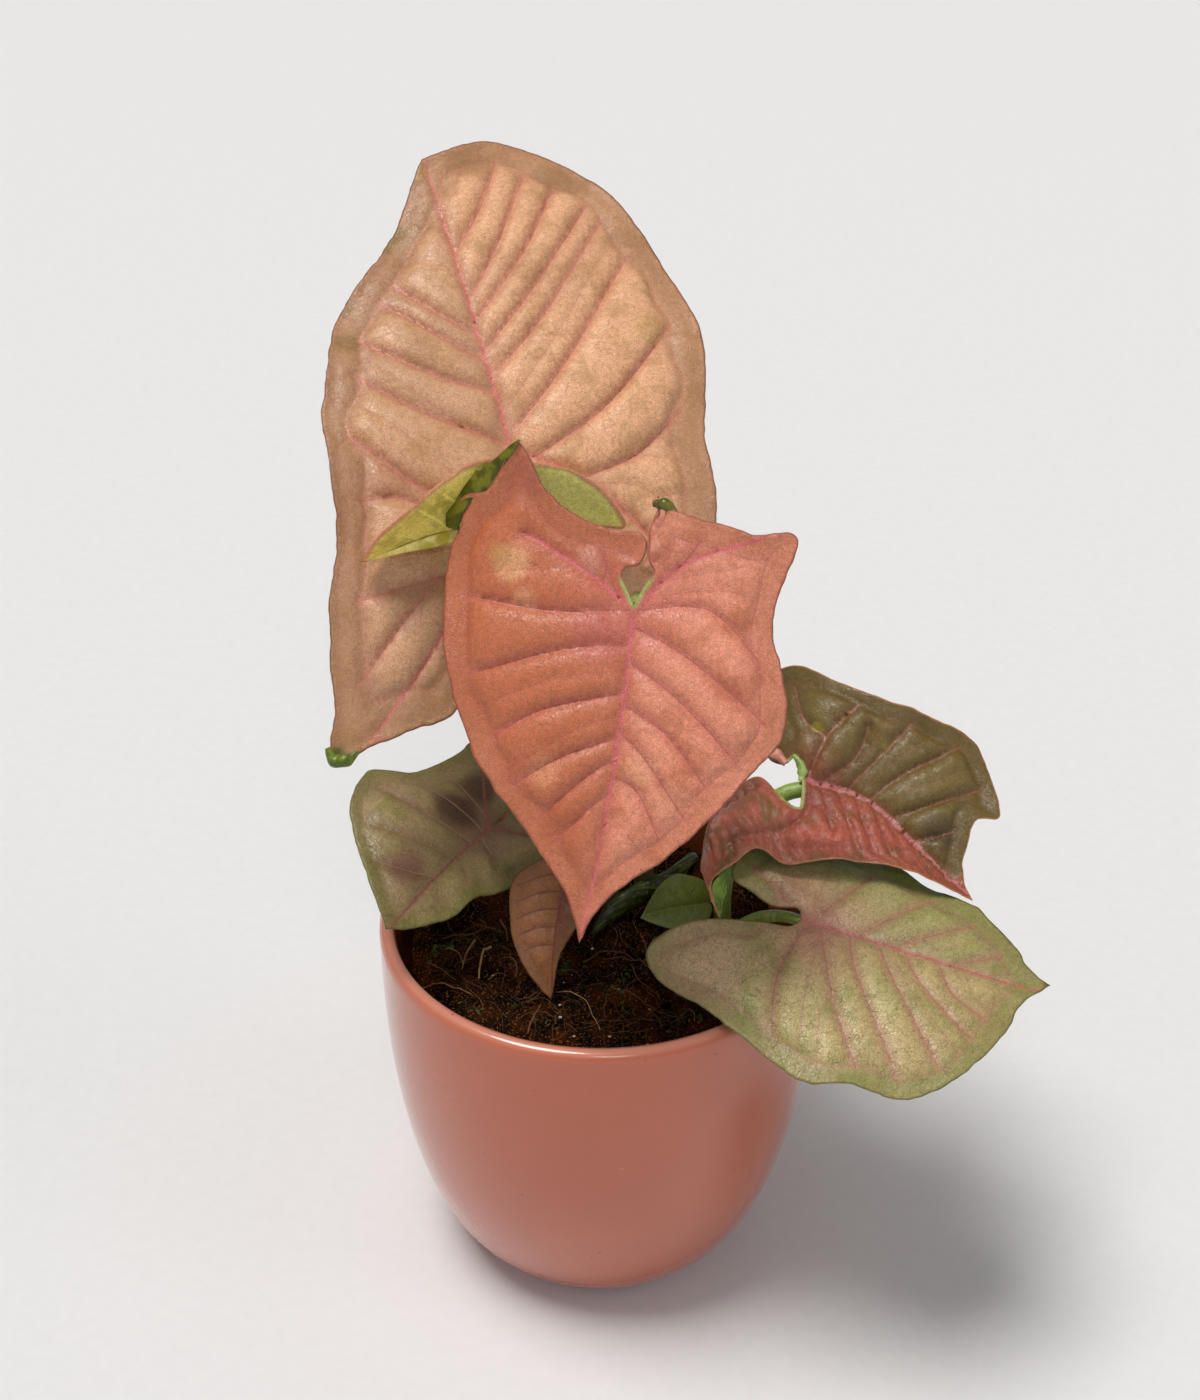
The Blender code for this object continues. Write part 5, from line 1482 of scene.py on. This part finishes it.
def makeStalks():
    finish = stalkPaint()
    tree = tubeTree()
    for name, (node, bladeName, foot, lean, reach, arrival, radius, shade) in stalks.items():
        base, top = (value * mm for value in radius)
        sunk, bend = stalkLine(leaves[bladeName], foot, lean, reach, arrival, top)
        places = np.linspace(0, 1, len(bend))
        swell = 1 + stalkShape["sheath"] * np.exp(-(places / stalkShape["sheathLength"]) ** 2)
        swell = swell - stalkShape["uneven"] * np.sin(places * 9) * places * (1 - places)
        radii = [base * 0.98] * len(sunk) + list((base + (top - base) * places) * swell)
        path = pathMesh(name + "Path", [(sunk + bend, radii, shade)])
        made = tree.grow(name, path, finish, Sides=stalkShape["sides"], Groove=stalkShape["groove"])
        finished(made, "stalk", node)


def shootPaint():
    paint = Paint("rolledLeafSkin")
    where = paint.place()
    mottle = paint.noise(where, rolledLook["mottle"], 3.0).steps(0.4, 0.65)
    colour = paint.blend(mottle, rolledLook["dark"], rolledLook["green"])
    colour = paint.blend(paint.value("seam").steps(0.0, 0.9, 0.55, 0.0), colour, rolledLook["seam"])
    dots = paint.cells(where, rolledLook["dots"]).steps(0.16, 0.26, 0.6, 0.0)
    colour = paint.blend(dots, colour, rolledLook["dot"])
    height = paint.value("ridge") + paint.noise(where, rolledLook["grain"]) * 0.3
    return paint.surface(Base_Color=colour, Specular_IOR_Level=rolledLook["shine"],
                         Roughness=paint.noise(where, 260.0).steps(0.3, 0.7, 0.26, 0.40),
                         Normal=paint.bump(height, rolledLook["depth"], rolledLook["strength"]))


def shootLine(spec):        # its points and radii, and how far along each is
    bottom, leavesSoil, _ = footPoints(spec["foot"], spec["lean"])
    route = curveThrough([tuple(leavesSoil / mm)] + spec["points"], spec["step"])
    line = np.array([bottom] + [p * mm for p in route] + [np.array(spec["points"][-1]) * mm])
    places = np.concatenate([[0], np.linspace(0, len(spec["radii"]) - 1, len(line) - 1)])
    radii = np.interp(places, range(len(spec["radii"])), spec["radii"]) * mm
    radii[-3:] *= (0.85, 0.6, 0.2)        # rounds off the tip
    return line, radii, places / places[-1]


def makeRolledShoot():
    spec, sides = rolledShoot, rolledShoot["sides"]
    line, radii, places = shootLine(spec)
    ways = np.gradient(line, axis=0)
    ways /= np.linalg.norm(ways, axis=1)[:, None]
    across = np.cross(ways[0], (0.0, 1.0, 0.0))
    points, seams, ridges, faces = [], [], [], []
    for centre, ahead, radius, place in zip(line, ways, radii, places):
        across = across - ahead * (across @ ahead)
        across /= np.linalg.norm(across)
        other = np.cross(ahead, across)
        for k in range(sides):
            turn = k / sides
            spiral = 1 + spec["seam"] * (turn - 0.5)
            edge = (turn + spec["turns"] * place) * math.tau
            points.append(centre + radius * spiral * (math.cos(edge) * across + math.sin(edge) * other))
            seams.append(min(turn, 1 - turn) * math.tau * radius / mm)
            ridges.append(0.5 + 0.5 * math.sin(turn * math.tau * spec["ridges"] + place * 14))
    for start in range(0, len(points) - sides, sides):
        faces += [(a, d, c, b) for a, b, c, d in bandFaces(start, start + sides, sides)]
    faces += [tuple(range(sides))[::-1], tuple(range(len(points) - sides, len(points)))]
    mesh = meshFrom("shootRolled", points, faces)
    mesh.set_sharp_from_angle(angle=math.radians(50))
    attribute(mesh, "seam", seams)
    attribute(mesh, "ridge", ridges)
    mesh.materials.append(shootPaint())
    finished(addObject("shootRolled", mesh), "shoot", spec["node"])


makeStalks()
makeRolledShoot()
